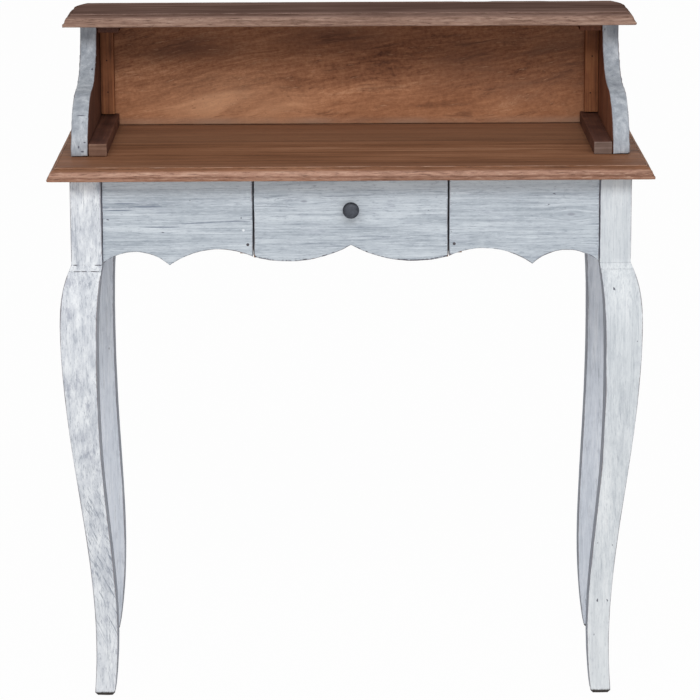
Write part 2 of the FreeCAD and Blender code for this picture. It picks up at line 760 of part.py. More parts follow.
def build_gallery():
    """The gallery on the desktop. Returns the holes of the screws that come up from below."""
    cleat_in = gallery_in - size.floor_cleat_width
    cleat_front = gallery_rear - size.gallery_foot_depth + size.floor_cleat_setback
    cleat_top = desktop_top + size.floor_cleat_height
    shelf_cleat_front = gallery_rear - size.gallery_top_depth + size.shelf_cleat_setback
    shelf_cleat_bottom = shelf_bottom - size.shelf_cleat_height
    batten_y = (gallery_back_face - size.corner_batten_depth, gallery_back_face)
    shelf_screw_middle = middle(shelf_cleat_front, batten_y[0])
    floor_screw_reach = size.fixing_block_spread - size.fixing_block_length / 2 - size.gallery_screw_gap
    floor_places = []
    shelf_places = []
    for hand in (LEFT, RIGHT):
        for toward in (-1, 1):
            floor_places.append((middle(cleat_in, gallery_in) * hand,
                                 side_middle + floor_screw_reach * toward))
            shelf_places.append(((gallery_in - size.shelf_cleat_width / 2) * hand,
                                 shelf_screw_middle + size.shelf_screw_spread * toward))
    floor_holes = upright_screws("gallery_screws", floor_places, leg_top,
                                 size.desktop_thickness + size.gallery_screw_bite)
    shelf_holes = upright_screws("shelf_screws", shelf_places, shelf_cleat_bottom,
                                 size.shelf_cleat_height + size.shelf_screw_bite)

    for index, (hand, side) in enumerate(((LEFT, "left"), (RIGHT, "right"))):
        pair = slice(2 * index, 2 * index + 2)
        outside = doc.addObject("Part::Feature", "gallery_side_sawn_" + side)
        inner_x = gallery_in.number * hand
        outside.Shape = gallery_side_outline(inner_x).extrude(
            FreeCAD.Vector(size.gallery_side_thickness.number * hand, 0, 0))
        node(outside, "gallery_side_" + side)
        floor_cleat = box("floor_cleat_strip_" + side, across(hand, cleat_in, gallery_in),
                          (cleat_front, gallery_back_face), (desktop_top, cleat_top))
        node(cut("floor_cleat_drilled_" + side, floor_cleat, floor_holes[pair]), "floor_cleat_" + side)
        batten = box("batten_" + side, across(hand, gallery_in - size.corner_batten_width, gallery_in),
                     batten_y, (cleat_top + size.corner_batten_foot_gap, shelf_cleat_bottom))
        node(batten, "corner_batten_" + side)
        shelf_cleat = box("shelf_cleat_strip_" + side,
                          across(hand, gallery_in - size.shelf_cleat_width, gallery_in),
                          (shelf_cleat_front, gallery_back_face), (shelf_cleat_bottom, shelf_bottom))
        node(cut("shelf_cleat_drilled_" + side, shelf_cleat, shelf_holes[pair]), "shelf_cleat_" + side)
    back = box("gallery_back_board", (-gallery_in, gallery_in), (gallery_back_face, gallery_rear),
               (desktop_top, shelf_bottom))
    node(back, "gallery_back")
    half_shelf = gallery_out + size.shelf_overhang
    shelf = moulded_top("shelf_board", half_shelf * 2, gallery_rear - size.shelf_depth, gallery_rear,
                        shelf_bottom, size.shelf_thickness)
    corners = [shelf_corner(hand, half_shelf) for hand in (LEFT, RIGHT)]
    node(cut("shelf_drilled", shelf, shelf_holes + corners), "gallery_shelf")
    return floor_holes


def shelf_corner(hand, half_shelf):
    """The waste that is sawn off a rear corner of the shelf to round it."""
    turn_x = half_shelf - size.shelf_corner_width
    turn_y = gallery_rear - size.shelf_corner_depth
    via_x = middle(turn_x, half_shelf) + size.shelf_corner_bulge
    beyond_x = half_shelf + size.shelf_corner_width
    beyond_y = gallery_rear + size.shelf_corner_width
    return flat_board("shelf_corner_left" if hand == LEFT else "shelf_corner_right", [
        (half_shelf * hand, turn_y, via_x * hand, middle(turn_y, gallery_rear)),
        (turn_x * hand, gallery_rear),
        (turn_x * hand, beyond_y),
        (beyond_x * hand, beyond_y),
        (beyond_x * hand, turn_y),
    ], (shelf_bottom - size.shelf_thickness, shelf_bottom + size.shelf_thickness * 2))


def build_desktop(screw_holes):
    board = moulded_top("desktop_board", size.desk_width, -half_depth, half_depth, leg_top,
                        size.desktop_thickness)
    node(cut("desktop_drilled", board, screw_holes), "desktop")


def check_and_write():
    """Stops on any failed object or bad shape, then writes one file for each piece."""
    doc.recompute()
    for item in doc.Objects:
        if "Invalid" in item.State or "Error" in item.State:
            raise RuntimeError("%s failed: %s" % (item.Label, item.State))
    for piece in nodes:
        if piece.Shape.isNull() or not piece.Shape.isValid() or not piece.Shape.Solids:
            raise RuntimeError("%s has no sound shape" % piece.Label)
    os.makedirs("parts", exist_ok=True)
    for piece in nodes:
        piece.Shape.exportStep("parts/%s.step" % piece.Label)
        print("%-26s solids %d  volume %.0f" % (piece.Label, len(piece.Shape.Solids), piece.Shape.Volume))


build_legs()
nail_holes = build_nails()
build_front_aprons(nail_holes)
build_side_aprons()
build_back_apron()
build_drawer_guides(nail_holes)
build_drawer()
desktop_holes = build_fixing_blocks()
gallery_holes = build_gallery()
build_desktop(desktop_holes + gallery_holes)
check_and_write()
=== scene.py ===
import math

import bmesh
import bpy
from mathutils import Matrix, Vector


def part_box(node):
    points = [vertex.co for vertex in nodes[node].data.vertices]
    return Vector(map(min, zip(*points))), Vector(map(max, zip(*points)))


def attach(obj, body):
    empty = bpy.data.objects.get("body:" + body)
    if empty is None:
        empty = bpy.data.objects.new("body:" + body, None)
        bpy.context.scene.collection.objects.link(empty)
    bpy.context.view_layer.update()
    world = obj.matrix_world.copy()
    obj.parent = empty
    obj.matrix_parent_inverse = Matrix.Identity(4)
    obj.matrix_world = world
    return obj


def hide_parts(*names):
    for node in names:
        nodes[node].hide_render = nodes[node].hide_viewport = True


# Looks of the bonheur du jour: whitewashed legs and aprons, a brown moulded desktop, and a brown gallery
# with painted sides. Metres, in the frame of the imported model.
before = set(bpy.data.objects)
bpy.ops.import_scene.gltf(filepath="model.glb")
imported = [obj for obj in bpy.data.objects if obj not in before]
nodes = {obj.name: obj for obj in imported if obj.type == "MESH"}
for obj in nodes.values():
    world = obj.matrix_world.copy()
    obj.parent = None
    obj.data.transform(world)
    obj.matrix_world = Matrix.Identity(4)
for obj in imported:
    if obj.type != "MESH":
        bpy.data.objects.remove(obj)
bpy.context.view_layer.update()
bpy.context.view_layer.update()

# The photograph's camera
IMAGE_SIDE = 700
FOCAL_PIXELS = 3381.3
SENSOR = 36.0
CAMERA_PLACE = (-0.0152, -4.580, 1.4700)
CAMERA_PITCH = math.radians(12.546)
CAMERA_YAW = math.radians(0.172)
CAMERA_ROLL = math.radians(-0.246)

# Sizes of the detail
BOARD_CELL = 0.0045
TOP_CELL = 0.006
LEG_CELL = 0.006
LEG_COLUMNS = (0.0, 0.08, 0.29, 0.5, 0.71, 0.92, 1.0)
LEG_BLOCK = 0.116
BLOCK_HEIGHT = 0.7
PAINT_EASE = 0.0008
LEG_EASE = 0.0012
WOOD_EASE = 0.0008
MOULDING_EASE = 0.0005
WEAR_REACH = 0.0035
# Edges are worn from the first of these turns, in degrees, and fully so when they turn by the second more
WEAR_STARTS = 8
WEAR_RANGE = 14
STRIP_CELL = 0.010
SHORT_EDGE = 0.004
COLLAR = 0.008
SCRIBE_HALF = 0.0005
SCRIBE_DEPTH = 0.0008
FAINT_SCRIBE = 0.5
SCRIBE_WEAR = 0.2
FOOT_CHAMFER = 0.005
SOLE_SKIM = 0.0002
MERGE_REACH = 0.00001
# A face looks a way if its normal leans that way by at least this much
LOOKS = 0.7
LEG_SIDE_LOOKS = 0.75
# Unevenness of the faces and of the worn edges, as (depth, spread)
TOP_HOLLOWS, TOP_CHIPS = (0.0007, 0.09), (0.0012, 0.012)
LEG_HOLLOWS, LEG_CHIPS = (0.0004, 0.05), (0.0008, 0.011)
APRON_HOLLOWS, APRON_CHIPS = (0.0005, 0.06), (0.0012, 0.010)
GALLERY_HOLLOWS, GALLERY_CHIPS = (0.0006, 0.04), (0.0016, 0.010)
STRIP_HOLLOWS = (0.0004, 0.05)
# The moulded edge, as in the model's own solids
NOSE_IN = 0.0012
LIP_HEIGHT = 0.0055
QUIRK = 0.0014
OVOLO_RUN = 0.0075
STEP_HEIGHT = 0.0022
ARC_STEPS = 8


def colour(red, green, blue):
    """A colour written as it is seen, from 0 to 255, as the shader takes it."""
    def straight(level):
        level = level / 255
        return level / 12.92 if level <= 0.04045 else ((level + 0.055) / 1.055) ** 2.4
    return (straight(red), straight(green), straight(blue), 1.0)


def three_shades(*levels):
    """Dark, middle and light."""
    return [colour(*level) for level in levels]


def three_stops(*levels, spread=0.12):
    """A ramp of three shades, spread to either side of a half."""
    return list(zip((0.5 - spread, 0.5, 0.5 + spread), three_shades(*levels)))


# Modelling by hand

def take(piece):
    """Selects one piece alone."""
    bpy.ops.object.select_all(action="DESELECT")
    piece.select_set(True)
    bpy.context.view_layer.objects.active = piece


def edit(piece, pick="VERT"):
    """Opens one piece alone for editing, with nothing on it selected."""
    take(piece)
    bpy.ops.object.mode_set(mode="EDIT")
    bpy.ops.mesh.select_mode(type=pick)
    bpy.ops.mesh.select_all(action="DESELECT")


def select_all():
    bpy.ops.mesh.select_all(action="SELECT")


def close():
    bpy.ops.object.mode_set(mode="OBJECT")


def close_outward():
    """Turns every face outward and ends the editing."""
    select_all()
    bpy.ops.mesh.normals_make_consistent(inside=False)
    close()


def between(low, high, share):
    return low + (high - low) * share


def share_of(value, whole):
    return min(1.0, max(0.0, value / whole))


def stations(stops, cell):
    """Places about one cell apart that pass through every stop."""
    places = [stops[0]]
    for start, finish in zip(stops, stops[1:]):
        count = max(1, round(abs(finish - start) / cell))
        places += [between(start, finish, step / count) for step in range(1, count + 1)]
    return places


def arc(turn, steps):
    """Angles from 0 to a whole turn of that size, in even steps."""
    return [turn * step / steps for step in range(steps + 1)]


def meet(node, start, way):
    """Where a straight line first meets a node's solid."""
    return nodes[node].ray_cast(start, way)[1]


def sheet(name, columns, rows, place):
    """A flat sheet of quads, with each corner put at place(column, row)."""
    bpy.ops.object.select_all(action="DESELECT")
    bpy.ops.mesh.primitive_grid_add(x_subdivisions=columns, y_subdivisions=rows, size=1)
    piece = bpy.context.object
    piece.name = name
    piece.data.name = name
    for number, vertex in enumerate(piece.data.vertices):
        vertex.co = place(number % (columns + 1), number // (columns + 1))
    return piece


def push(step):
    """Extrudes what is selected by that step."""
    bpy.ops.mesh.extrude_region_move(TRANSFORM_OT_translate={"value": step, "orient_type": "GLOBAL"})


def thicken(piece, step):
    """Makes a board of a sheet, in layers about one cell thick."""
    layers = max(1, round(Vector(step).length / BOARD_CELL))
    edit(piece)
    select_all()
    for _ in range(layers):
        push(Vector(step) / layers)
    close_outward()


def ease(piece, width, angle=40, shortest=0.0):
    """Rounds the edges that turn by more than the angle, apart from the shortest."""
    edit(piece, "EDGE")
    bpy.ops.mesh.edges_select_sharp(sharpness=math.radians(angle))
    close()
    points = piece.data.vertices
    for edge in piece.data.edges:
        first, second = edge.vertices
        if (points[first].co - points[second].co).length < shortest:
            edge.select = False
    bpy.ops.object.mode_set(mode="EDIT")
    bpy.ops.mesh.bevel(offset=width, segments=2, affect="EDGES", clamp_overlap=True)
    close()


def cut_up(piece, cell):
    """Cuts a piece by planes about a cell apart and close to its edges, so that it can be worn and uneven."""
    places = [point.co.copy() for point in piece.data.vertices]
    edit(piece)
    for axis in range(3):
        low = min(place[axis] for place in places)
        high = max(place[axis] for place in places)
        facing = Vector((0, 0, 0))
        facing[axis] = 1
        for cut in stations([low, low + WEAR_REACH, high - WEAR_REACH, high], cell)[1:-1]:
            select_all()
            bpy.ops.mesh.bisect(plane_co=facing * cut, plane_no=facing)
    close()


def mark_edges(piece, board):
    """Stores how much each point is worn, on outward edges, and darkened with dirt and painted shade, in
    inward ones, and the number that sets this board's grain apart. The worn points are also a vertex group."""
    shape = bmesh.new()
    shape.from_mesh(piece.data)
    worn = []
    dirty_and_shaded = []
    for vertex in shape.verts:
        turns = [math.degrees(edge.calc_face_angle_signed(0)) for edge in vertex.link_edges]
        worn.append(share_of(max(turns) - WEAR_STARTS, WEAR_RANGE))
        dirty_and_shaded.append(share_of(-min(turns) - WEAR_STARTS, WEAR_RANGE))
    shape.free()
    store(piece, "wear", worn)
    store(piece, "dirt_and_shade", dirty_and_shaded)
    store(piece, "board", [board] * len(worn))
    edges = piece.vertex_groups.new(name="edges")
    for index, amount in enumerate(worn):
        if amount > 0:
            edges.add([index], amount, "REPLACE")


def store(piece, name, values):
    attribute = piece.data.attributes.get(name) or piece.data.attributes.new(name, "FLOAT", "POINT")
    attribute.data.foreach_set("value", values)


def stored(piece, name):
    values = [0.0] * len(piece.data.vertices)
    piece.data.attributes[name].data.foreach_get("value", values)
    return values


def uneven(piece, depth, spread, group=""):
    """Sinks the surface unevenly, as hand tools and use leave it. It never stands proud."""
    hollows = bpy.data.textures.new(piece.name + "_hollows", "CLOUDS")
    hollows.noise_scale = spread
    hollows.noise_depth = 2
    take(piece)
    dent = piece.modifiers.new("dent", "DISPLACE")
    dent.texture = hollows
    dent.texture_coords = "LOCAL"
    dent.mid_level = 1.0
    dent.strength = depth
    dent.vertex_group = group
    bpy.ops.object.modifier_apply(modifier=dent.name)


finished = []


def settle(piece, body, node, angle=30):
    """Smooths a finished piece and sets it on its body, to take its node's place at the end. What an
    eased corner pushed out of the node's box is planed back."""
    low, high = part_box(node)
    for point in piece.data.vertices:
        point.co = [min(max(place, least), most) for place, least, most in zip(point.co, low, high)]
    take(piece)
    bpy.ops.object.shade_smooth_by_angle(angle=math.radians(angle))
    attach(piece, body)
    finished.append((piece, node))


def dress(piece, *finishes):
    piece.data.materials.clear()
    for finish in finishes:
        piece.data.materials.append(finish)


def paint_faces(piece, slot, belongs):
    """Gives the faces that belong another of the piece's finishes."""
    for face in piece.data.polygons:
        if belongs(face):
            face.material_index = slot


# Finishes

def along(grain, lengthwise, crosswise):
    """Texture scales for a grain that runs along X, Y or Z."""
    return tuple(lengthwise if axis == grain else crosswise for axis in "XYZ")


class Finish:
    """One procedural finish, with short ways to add its nodes."""

    def __init__(self, name):
        self.material = bpy.data.materials.new(name)
        self.material.use_nodes = True
        self.tree = self.material.node_tree
        self.shader = self.tree.nodes["Principled BSDF"]
        self.place = self.tree.nodes.new("ShaderNodeTexCoord").outputs["Object"]
        self.board = self.read("board")
        self.shade = None

    def feed(self, socket, value):
        if isinstance(value, bpy.types.NodeSocket):
            self.tree.links.new(value, socket)
        else:
            socket.default_value = value

    def add(self, kind, **settings):
        node = self.tree.nodes.new("ShaderNode" + kind)
        for key, value in settings.items():
            setattr(node, key, value)
        return node

    def read(self, name):
        return self.add("Attribute", attribute_name=name).outputs["Fac"]

    def axis(self, name):
        """How far along X, Y or Z."""
        axes = self.add("SeparateXYZ")
        self.feed(axes.inputs["Vector"], self.place)
        return axes.outputs[name]

    def vector(self, kind, *values):
        node = self.add("VectorMath", operation=kind)
        for socket, value in zip(node.inputs, values):
            self.feed(socket, value)
        return node.outputs["Value" if kind == "LENGTH" else "Vector"]

    def spot(self, centre, radii, firm=0.4):
        """A mark at one place: 1 in its middle, fading to 0 at its rim."""
        offset = self.vector("SUBTRACT", self.place, centre)
        away = self.vector("LENGTH", self.vector("DIVIDE", offset, radii))
        return self.span(away, 1.0, firm)

    def stretch(self, scale, turn=(0, 0, 0), place=None):
        node = self.add("Mapping")
        self.feed(node.inputs["Vector"], place or self.place)
        node.inputs["Scale"].default_value = scale
        node.inputs["Rotation"].default_value = [math.radians(angle) for angle in turn]
        return node.outputs["Vector"]

    def noise(self, place, scale=1.0, detail=3.0, rough=0.55, swirl=0.0):
        node = self.add("TexNoise", noise_dimensions="4D")
        for key, value in (("Vector", place), ("W", self.board), ("Scale", scale), ("Detail", detail),
                           ("Roughness", rough), ("Distortion", swirl)):
            self.feed(node.inputs[key], value)
        return node.outputs["Fac"]

    def streaks(self, grain, lengthwise, crosswise, place=None, **settings):
        """Noise drawn out along a grain that runs along X, Y or Z."""
        return self.noise(self.stretch(along(grain, lengthwise, crosswise), place=place), **settings)

    def maths(self, kind, first, second=0.0, third=0.0):
        node = self.add("Math", operation=kind)
        for socket, value in zip(node.inputs, (first, second, third)):
            self.feed(socket, value)
        return node.outputs["Value"]

    def span(self, value, low, high, start=0.0, finish=1.0):
        """The value's run from low to high, eased into a run from start to finish."""
        node = self.add("MapRange", interpolation_type="SMOOTHSTEP")
        for key, number in (("Value", value), ("From Min", low), ("From Max", high), ("To Min", start),
                            ("To Max", finish)):
            self.feed(node.inputs[key], number)
        return node.outputs["Result"]

    def ramp(self, value, stops):
        node = self.add("ValToRGB")
        self.feed(node.inputs["Fac"], value)
        points = node.color_ramp.elements
        while len(points) < len(stops):
            points.new(1.0)
        for point, (position, shade) in zip(points, stops):
            point.position = position
            point.color = shade
        return node.outputs["Color"]

    def mix(self, share, first, second):
        node = self.add("Mix", data_type="RGBA")
        self.feed(node.inputs["Factor"], share)
        inputs = [socket for socket in node.inputs if socket.type == "RGBA"]
        self.feed(inputs[0], first)
        self.feed(inputs[1], second)
        return [socket for socket in node.outputs if socket.type == "RGBA"][0]

    def blend(self, *parts):
        """A sum of (share, value) parts."""
        total = 0.0
        for share, value in parts:
            total = self.maths("MULTIPLY_ADD", value, share, total)
        return total

    def coat(self, share, shade):
        """Lays a shade over the ones so far."""
        self.shade = self.mix(share, self.shade, shade)

    def wash(self, value, low, high, most, shade):
        """Lays a shade on as the value runs from low to high, with the given most of it."""
        self.coat(self.span(value, low, high, 0.0, most), shade)

    def bump(self, height, depth, strength):
        node = self.add("Bump")
        self.feed(node.inputs["Height"], height)
        node.inputs["Distance"].default_value = depth
        node.inputs["Strength"].default_value = strength
        self.feed(self.shader.inputs["Normal"], node.outputs["Normal"])

    def done(self, roughness, gloss=0.5, metal=0.0):
        for key, value in (("Base Color", self.shade), ("Roughness", roughness),
                           ("Specular IOR Level", gloss), ("Metallic", metal)):
            self.feed(self.shader.inputs[key], value)
        return self.material


# Heights between which painted light lifts a paint, on the lower front legs and on the aprons' tops in the
# desktop's shadow, and painted shade dims it, on the right front leg's block under the desktop
FOOT_LIGHT_HEIGHTS = (0.20, 0.08)
APRON_TOP_LIGHT_HEIGHTS = (0.698, 0.718)
BLOCK_SHADE_HEIGHTS = (0.600, 0.614)
GRAIN_SLANT = 2.5
HATCH_SLANT = 25
KNOT_SPREAD = 0.8
# Knots in the right apron and the drawer front, as (place, radii)
KNOTS = (((0.292, -0.168, 0.671), (0.045, 0.05, 0.018)), ((-0.062, -0.168, 0.690), (0.050, 0.05, 0.014)))
SMUDGE = colour(160, 164, 178)
LINE = colour(118, 127, 142)
NICK = colour(92, 94, 106)
FILLED = colour(230, 234, 238)
KNOT_HEART = colour(154, 160, 170)
RUBBED_AND_SHADED = colour(132, 127, 132)
BARE_DARK = colour(74, 58, 52)
BARE_GREY = colour(128, 118, 118)
GRIME_AND_SHADE = colour(70, 66, 76)
SOLE = colour(46, 40, 36)
# Single marks on the faces of the front boards, as (x, z, half width, half height, shade)
FRONT_FACE = -0.168
MARK_DEPTH = 0.01
APRON_MARKS = [((x, FRONT_FACE, z), (wide, MARK_DEPTH, high), shade) for x, z, wide, high, shade in (
    (-0.1426, 0.6515, 0.0024, 0.0024, FILLED), (-0.1455, 0.668, 0.0012, 0.0016, NICK),
    (0.2260, 0.607, 0.0060, 0.0018, NICK), (0.292, 0.671, 0.0070, 0.0028, KNOT_HEART),
    (-0.062, 0.690, 0.0060, 0.0020, KNOT_HEART), (-0.308, 0.6790, 0.0260, 0.0011, LINE),
    (-0.272, 0.6835, 0.0300, 0.0010, LINE), (-0.300, 0.6880, 0.0220, 0.0009, LINE),
    (-0.250, 0.6560, 0.0340, 0.0009, LINE))]
# Nicks in the left gallery side, as (place, radii)
GALLERY_MARKS = [(place, radii, NICK) for place, radii in (
    ((-0.359, -0.100, 0.7470), (0.0030, 0.02, 0.0016)), ((-0.364, -0.099, 0.7530), (0.0016, 0.02, 0.0026)),
    ((-0.356, -0.097, 0.7590), (0.0022, 0.02, 0.0012)), ((-0.362, -0.070, 0.7920), (0.0080, 0.02, 0.0008)),
    ((-0.356, 0.060, 0.8350), (0.0022, 0.03, 0.0020)))]
BATTEN_FACE = 0.158
BATTEN_MARK = 0.0016
BATTEN_MARKS = [((x, BATTEN_FACE, z), (BATTEN_MARK, MARK_DEPTH, BATTEN_MARK))
                for x, z in ((-0.342, 0.835), (-0.341, 0.790), (0.342, 0.838), (0.340, 0.786))]


def whitewash(name, grain, shades, brush=0.8, mottle=0.2, lines=0.5, smudges=0.3, chips=0.2, edge=0.3,
              dashes=0.1, hatch=0.0, painted_foot_light=0.0, painted_top_light=0.0, painted_block_shade=0.0, marks=()):
    """Thin white paint brushed along the grain, worn through to brown wood on the edges. The shades go
    from dark to light, and the other numbers say how strong each kind of mark is."""
    f = Finish(name)
    place = f.place
    for centre, radii in KNOTS:
        place = parted(f, place, centre, radii)
    brushed = f.streaks(grain, 5, 150, place, detail=5, rough=0.65, swirl=0.1)
    hairs = f.streaks(grain, 7, 480, place, detail=5, rough=0.7)
    cloudy = f.streaks(grain, 5, 30, detail=2)
    blots = f.streaks(grain, 30, 75, detail=6, rough=0.7, swirl=0.3)
    plain = 1 - 0.72 * brush - mottle
    tone = f.blend((0.24 * brush, brushed), (0.48 * brush, hairs), (mottle, blots), (plain, cloudy))
    f.shade = f.ramp(tone, [(0.40, shades[0]), (0.50, shades[1]), (0.59, shades[2])])
    height = f.axis("Z")
    # Painted light lifts the lower legs and the aprons' tops, and painted shade dims a leg's block
    for fade, most, tint in ((APRON_TOP_LIGHT_HEIGHTS, painted_top_light, shades[2]), (BLOCK_SHADE_HEIGHTS, painted_block_shade, shades[0]),
                             (FOOT_LIGHT_HEIGHTS, painted_foot_light, shades[2])):
        if most:
            f.wash(height, *fade, most, tint)
    smudge = f.streaks(grain, 22, 46, detail=7, rough=0.72)
    f.wash(smudge, 0.54, 0.66, smudges, SMUDGE)
    slanted = f.stretch((1, 1, 1), turn=(0, GRAIN_SLANT, 0), place=place)
    long_line = f.streaks(grain, 4.5, 230, slanted, detail=6, rough=0.72)
    f.wash(long_line, 0.555, 0.66, lines, LINE)
    f.wash(hairs, 0.57, 0.66, lines, LINE)
    f.wash(hairs, 0.42, 0.34, 0.7 * lines, shades[2])
    dash = f.streaks(grain, 90, 620, place, detail=3, rough=0.7)
    f.wash(dash, 0.54, 0.66, dashes, LINE)
    f.wash(dash, 0.46, 0.34, dashes, shades[2])
    if hatch:
        sawn = f.stretch((1, 1, 1), turn=(0, HATCH_SLANT, 0))
        sawn = f.streaks("Z", 14, 420, sawn, detail=4, rough=0.7)
        low_leg = f.maths("MULTIPLY", f.span(height, 0.33, 0.26), f.span(height, 0.05, 0.12))
        f.coat(f.maths("MULTIPLY", low_leg, f.span(sawn, 0.52, 0.64, 0.0, hatch)), LINE)
    nick = f.span(f.streaks(grain, 55, 140, detail=2), 0.725, 0.755)
    f.coat(nick, NICK)
    for centre, radii, tint in marks:
        f.coat(f.spot(centre, radii), tint)
    wear = f.read("wear")
    crumbs = f.noise(f.place, scale=190, detail=4, rough=0.65)
    patches = f.noise(f.place, scale=17, detail=3)
    # Dark lines along the edges: rubbed paint and painted edge shade
    rubbed_and_shaded = f.blend((0.62, wear), (0.35, crumbs), (0.65, patches), (0.07, f.span(height, 0.36, 0.22)))
    f.wash(rubbed_and_shaded, 1.02 - 0.1 * edge, 1.14 - 0.1 * edge, 0.9, RUBBED_AND_SHADED)
    chip = f.blend((0.62, wear), (0.55, crumbs), (0.45, patches))
    chip = f.span(chip, 1.20 - 0.1 * chips, 1.27 - 0.1 * chips)
    bare = f.ramp(f.noise(f.place, scale=60), [(0.4, BARE_DARK), (0.62, BARE_GREY)])
    f.coat(chip, bare)
    broken = f.span(f.noise(f.place, scale=110, detail=4, rough=0.7), 0.44, 0.56, 0.05, 0.95)
    # Darker in the creases, under the sawn edges and at the feet: dirt and painted shade
    grime_and_shade = f.maths("MULTIPLY", f.span(f.read("dirt_and_shade"), 0.35, 0.9), broken)
    f.coat(grime_and_shade, GRIME_AND_SHADE)
    ragged = f.maths("MULTIPLY_ADD", crumbs, -0.004, f.maths("ADD", height, 0.002))
    f.coat(f.span(ragged, 0.0075, 0.0045), SOLE)
    f.bump(f.blend((0.5, brushed), (0.4, hairs), (-0.9, chip), (-0.8, nick)), 0.0005, 0.55)
    return f.done(f.span(tone, 0.36, 0.64, 0.74, 0.55), gloss=0.3)


def parted(f, place, centre, radii):
    """Places spread apart round a knot, so that the grain flows past it on both sides."""
    spread = f.maths("MULTIPLY", f.spot(centre, radii, 0.0), -KNOT_SPREAD)
    return f.vector("MULTIPLY_ADD", f.vector("SUBTRACT", f.place, centre), spread, place)


def swayed(f, grain, amount):
    """Places that wander across the grain, so that its lines sway."""
    wander = f.streaks(grain, 2.2, 5, detail=3)
    return f.vector("MULTIPLY_ADD", wander, along(grain, 0.0, amount), f.place)


# Places along Y: the joint between two boards, the front strip darkened with painted shade and its arris, and
# the back lifted with painted light
BOARD_JOINT = 0.027
JOINT_WANDER = 0.03
SHADED_FRONT_STRIP = (-0.13, -0.175)
FRONT_ARRIS = (-0.1898, -0.187)
LIT_BACK_STRIP = (-0.03, 0.06)


def brown_wood(name, stops, lip_wear_and_highlight_stops, ovolo_wear_and_highlight_stops, worn, dirt_and_shade, gloss, painted_front_shade=0.0, painted_back_light=0.0):
    """Stained and waxed boards with the grain along X, with their moulded edges lighter: rubbed wood with a
    painted highlight.
    """
    f = Finish(name)
    place = swayed(f, "X", 0.03)
    broad = f.streaks("X", 1.1, 20, place, detail=4, rough=0.6)
    streak = f.streaks("X", 2.6, 64, place, detail=5, rough=0.65)
    fine = f.streaks("X", 6, 150, place, detail=5, rough=0.7)
    patch = f.streaks("X", 5, 11, detail=3)
    tone = f.blend((0.24, broad), (0.36, streak), (0.30, fine), (0.10, patch))
    f.shade = f.ramp(tone, stops)
    joint = f.maths("MULTIPLY_ADD", broad, JOINT_WANDER, f.maths("SUBTRACT", f.axis("Y"), BOARD_JOINT))
    joint = f.maths("ABSOLUTE", f.maths("SUBTRACT", joint, JOINT_WANDER / 2))
    f.wash(joint, 0.007, 0.002, 0.55, dirt_and_shade)
    depth = f.axis("Y")
    # Painted shade on the front strip behind the arris, and painted light on the back against the shelf's
    # shadow
    front = f.maths("MULTIPLY", f.span(depth, *SHADED_FRONT_STRIP, 0.0, painted_front_shade), f.span(depth, *FRONT_ARRIS))
    f.coat(front, stops[0][1])
    f.wash(depth, *LIT_BACK_STRIP, painted_back_light, stops[-1][1])
    flecks = f.streaks("X", 40, 330, detail=5, rough=0.7)
    edge_tone = f.blend((0.2, streak), (0.25, fine), (0.35, flecks), (0.2, patch))
    lip = f.read("lip")
    ovolo = f.read("ovolo")
    # The lip and the ovolo: rubbed wood with a painted highlight
    f.coat(lip, f.ramp(edge_tone, lip_wear_and_highlight_stops))
    f.coat(ovolo, f.ramp(edge_tone, ovolo_wear_and_highlight_stops))
    moulded = f.maths("MAXIMUM", lip, ovolo)
    scratch = f.streaks("X", 70, 520, detail=4, rough=0.75)
    f.coat(f.maths("MULTIPLY", moulded, f.span(scratch, 0.53, 0.66, 0.0, 0.6)), dirt_and_shade)
    f.coat(f.maths("MULTIPLY", moulded, f.span(scratch, 0.47, 0.36, 0.0, 0.5)), worn)
    pores = f.streaks("X", 30, 420, place, detail=4, rough=0.7)
    pores = f.span(pores, 0.58, 0.68, 0.0, 0.6)
    f.coat(pores, dirt_and_shade)
    crack = f.streaks("X", 3.5, 210, place, detail=4, rough=0.7)
    crack = f.span(crack, 0.665, 0.70, 0.0, 0.85)
    f.coat(crack, dirt_and_shade)
    f.wash(f.blend((0.6, f.read("wear")), (0.8, flecks)), 0.88, 1.14, 0.6, worn)
    grime_and_shade = f.maths("MULTIPLY", f.read("dirt_and_shade"), f.span(flecks, 0.38, 0.62, 0.05, 0.55))
    f.coat(grime_and_shade, dirt_and_shade)
    f.bump(f.blend((0.4, streak), (0.3, fine), (-0.5, pores), (-0.6, crack)), 0.0005, 0.6)
    return f.done(f.span(fine, 0.3, 0.7, 0.5, 0.68), gloss=gloss)


FIGURE_SLANT = 9
# Heights over which painted shade darkens the back towards the shelf
SHELF_SHADE_HEIGHTS = (0.80, 0.90)
# Places darker with smoke in the wood and painted shade under the shelf, as (place, radii)
SMOKE_AND_SHADE_SPOTS = (((-0.24, 0.178, 0.852), (0.15, 0.05, 0.036)),
          ((-0.02, 0.178, 0.862), (0.15, 0.05, 0.036)),
          ((0.20, 0.178, 0.838), (0.17, 0.05, 0.052)),
          ((0.32, 0.178, 0.820), (0.30, 0.05, 0.090)))
PALE_PLACE = (-0.17, 0.178, 0.774)
PALE_RADII = (0.17, 0.05, 0.055)
PALE = colour(228, 178, 140)
SMOKE_AND_SHADE = colour(98, 63, 50)
ORANGE = colour(190, 132, 94)
DUST_HEIGHTS = (0.754, 0.7425)
DUST = colour(160, 128, 108)
FOOT_GAP_SHADE = colour(30, 20, 16)


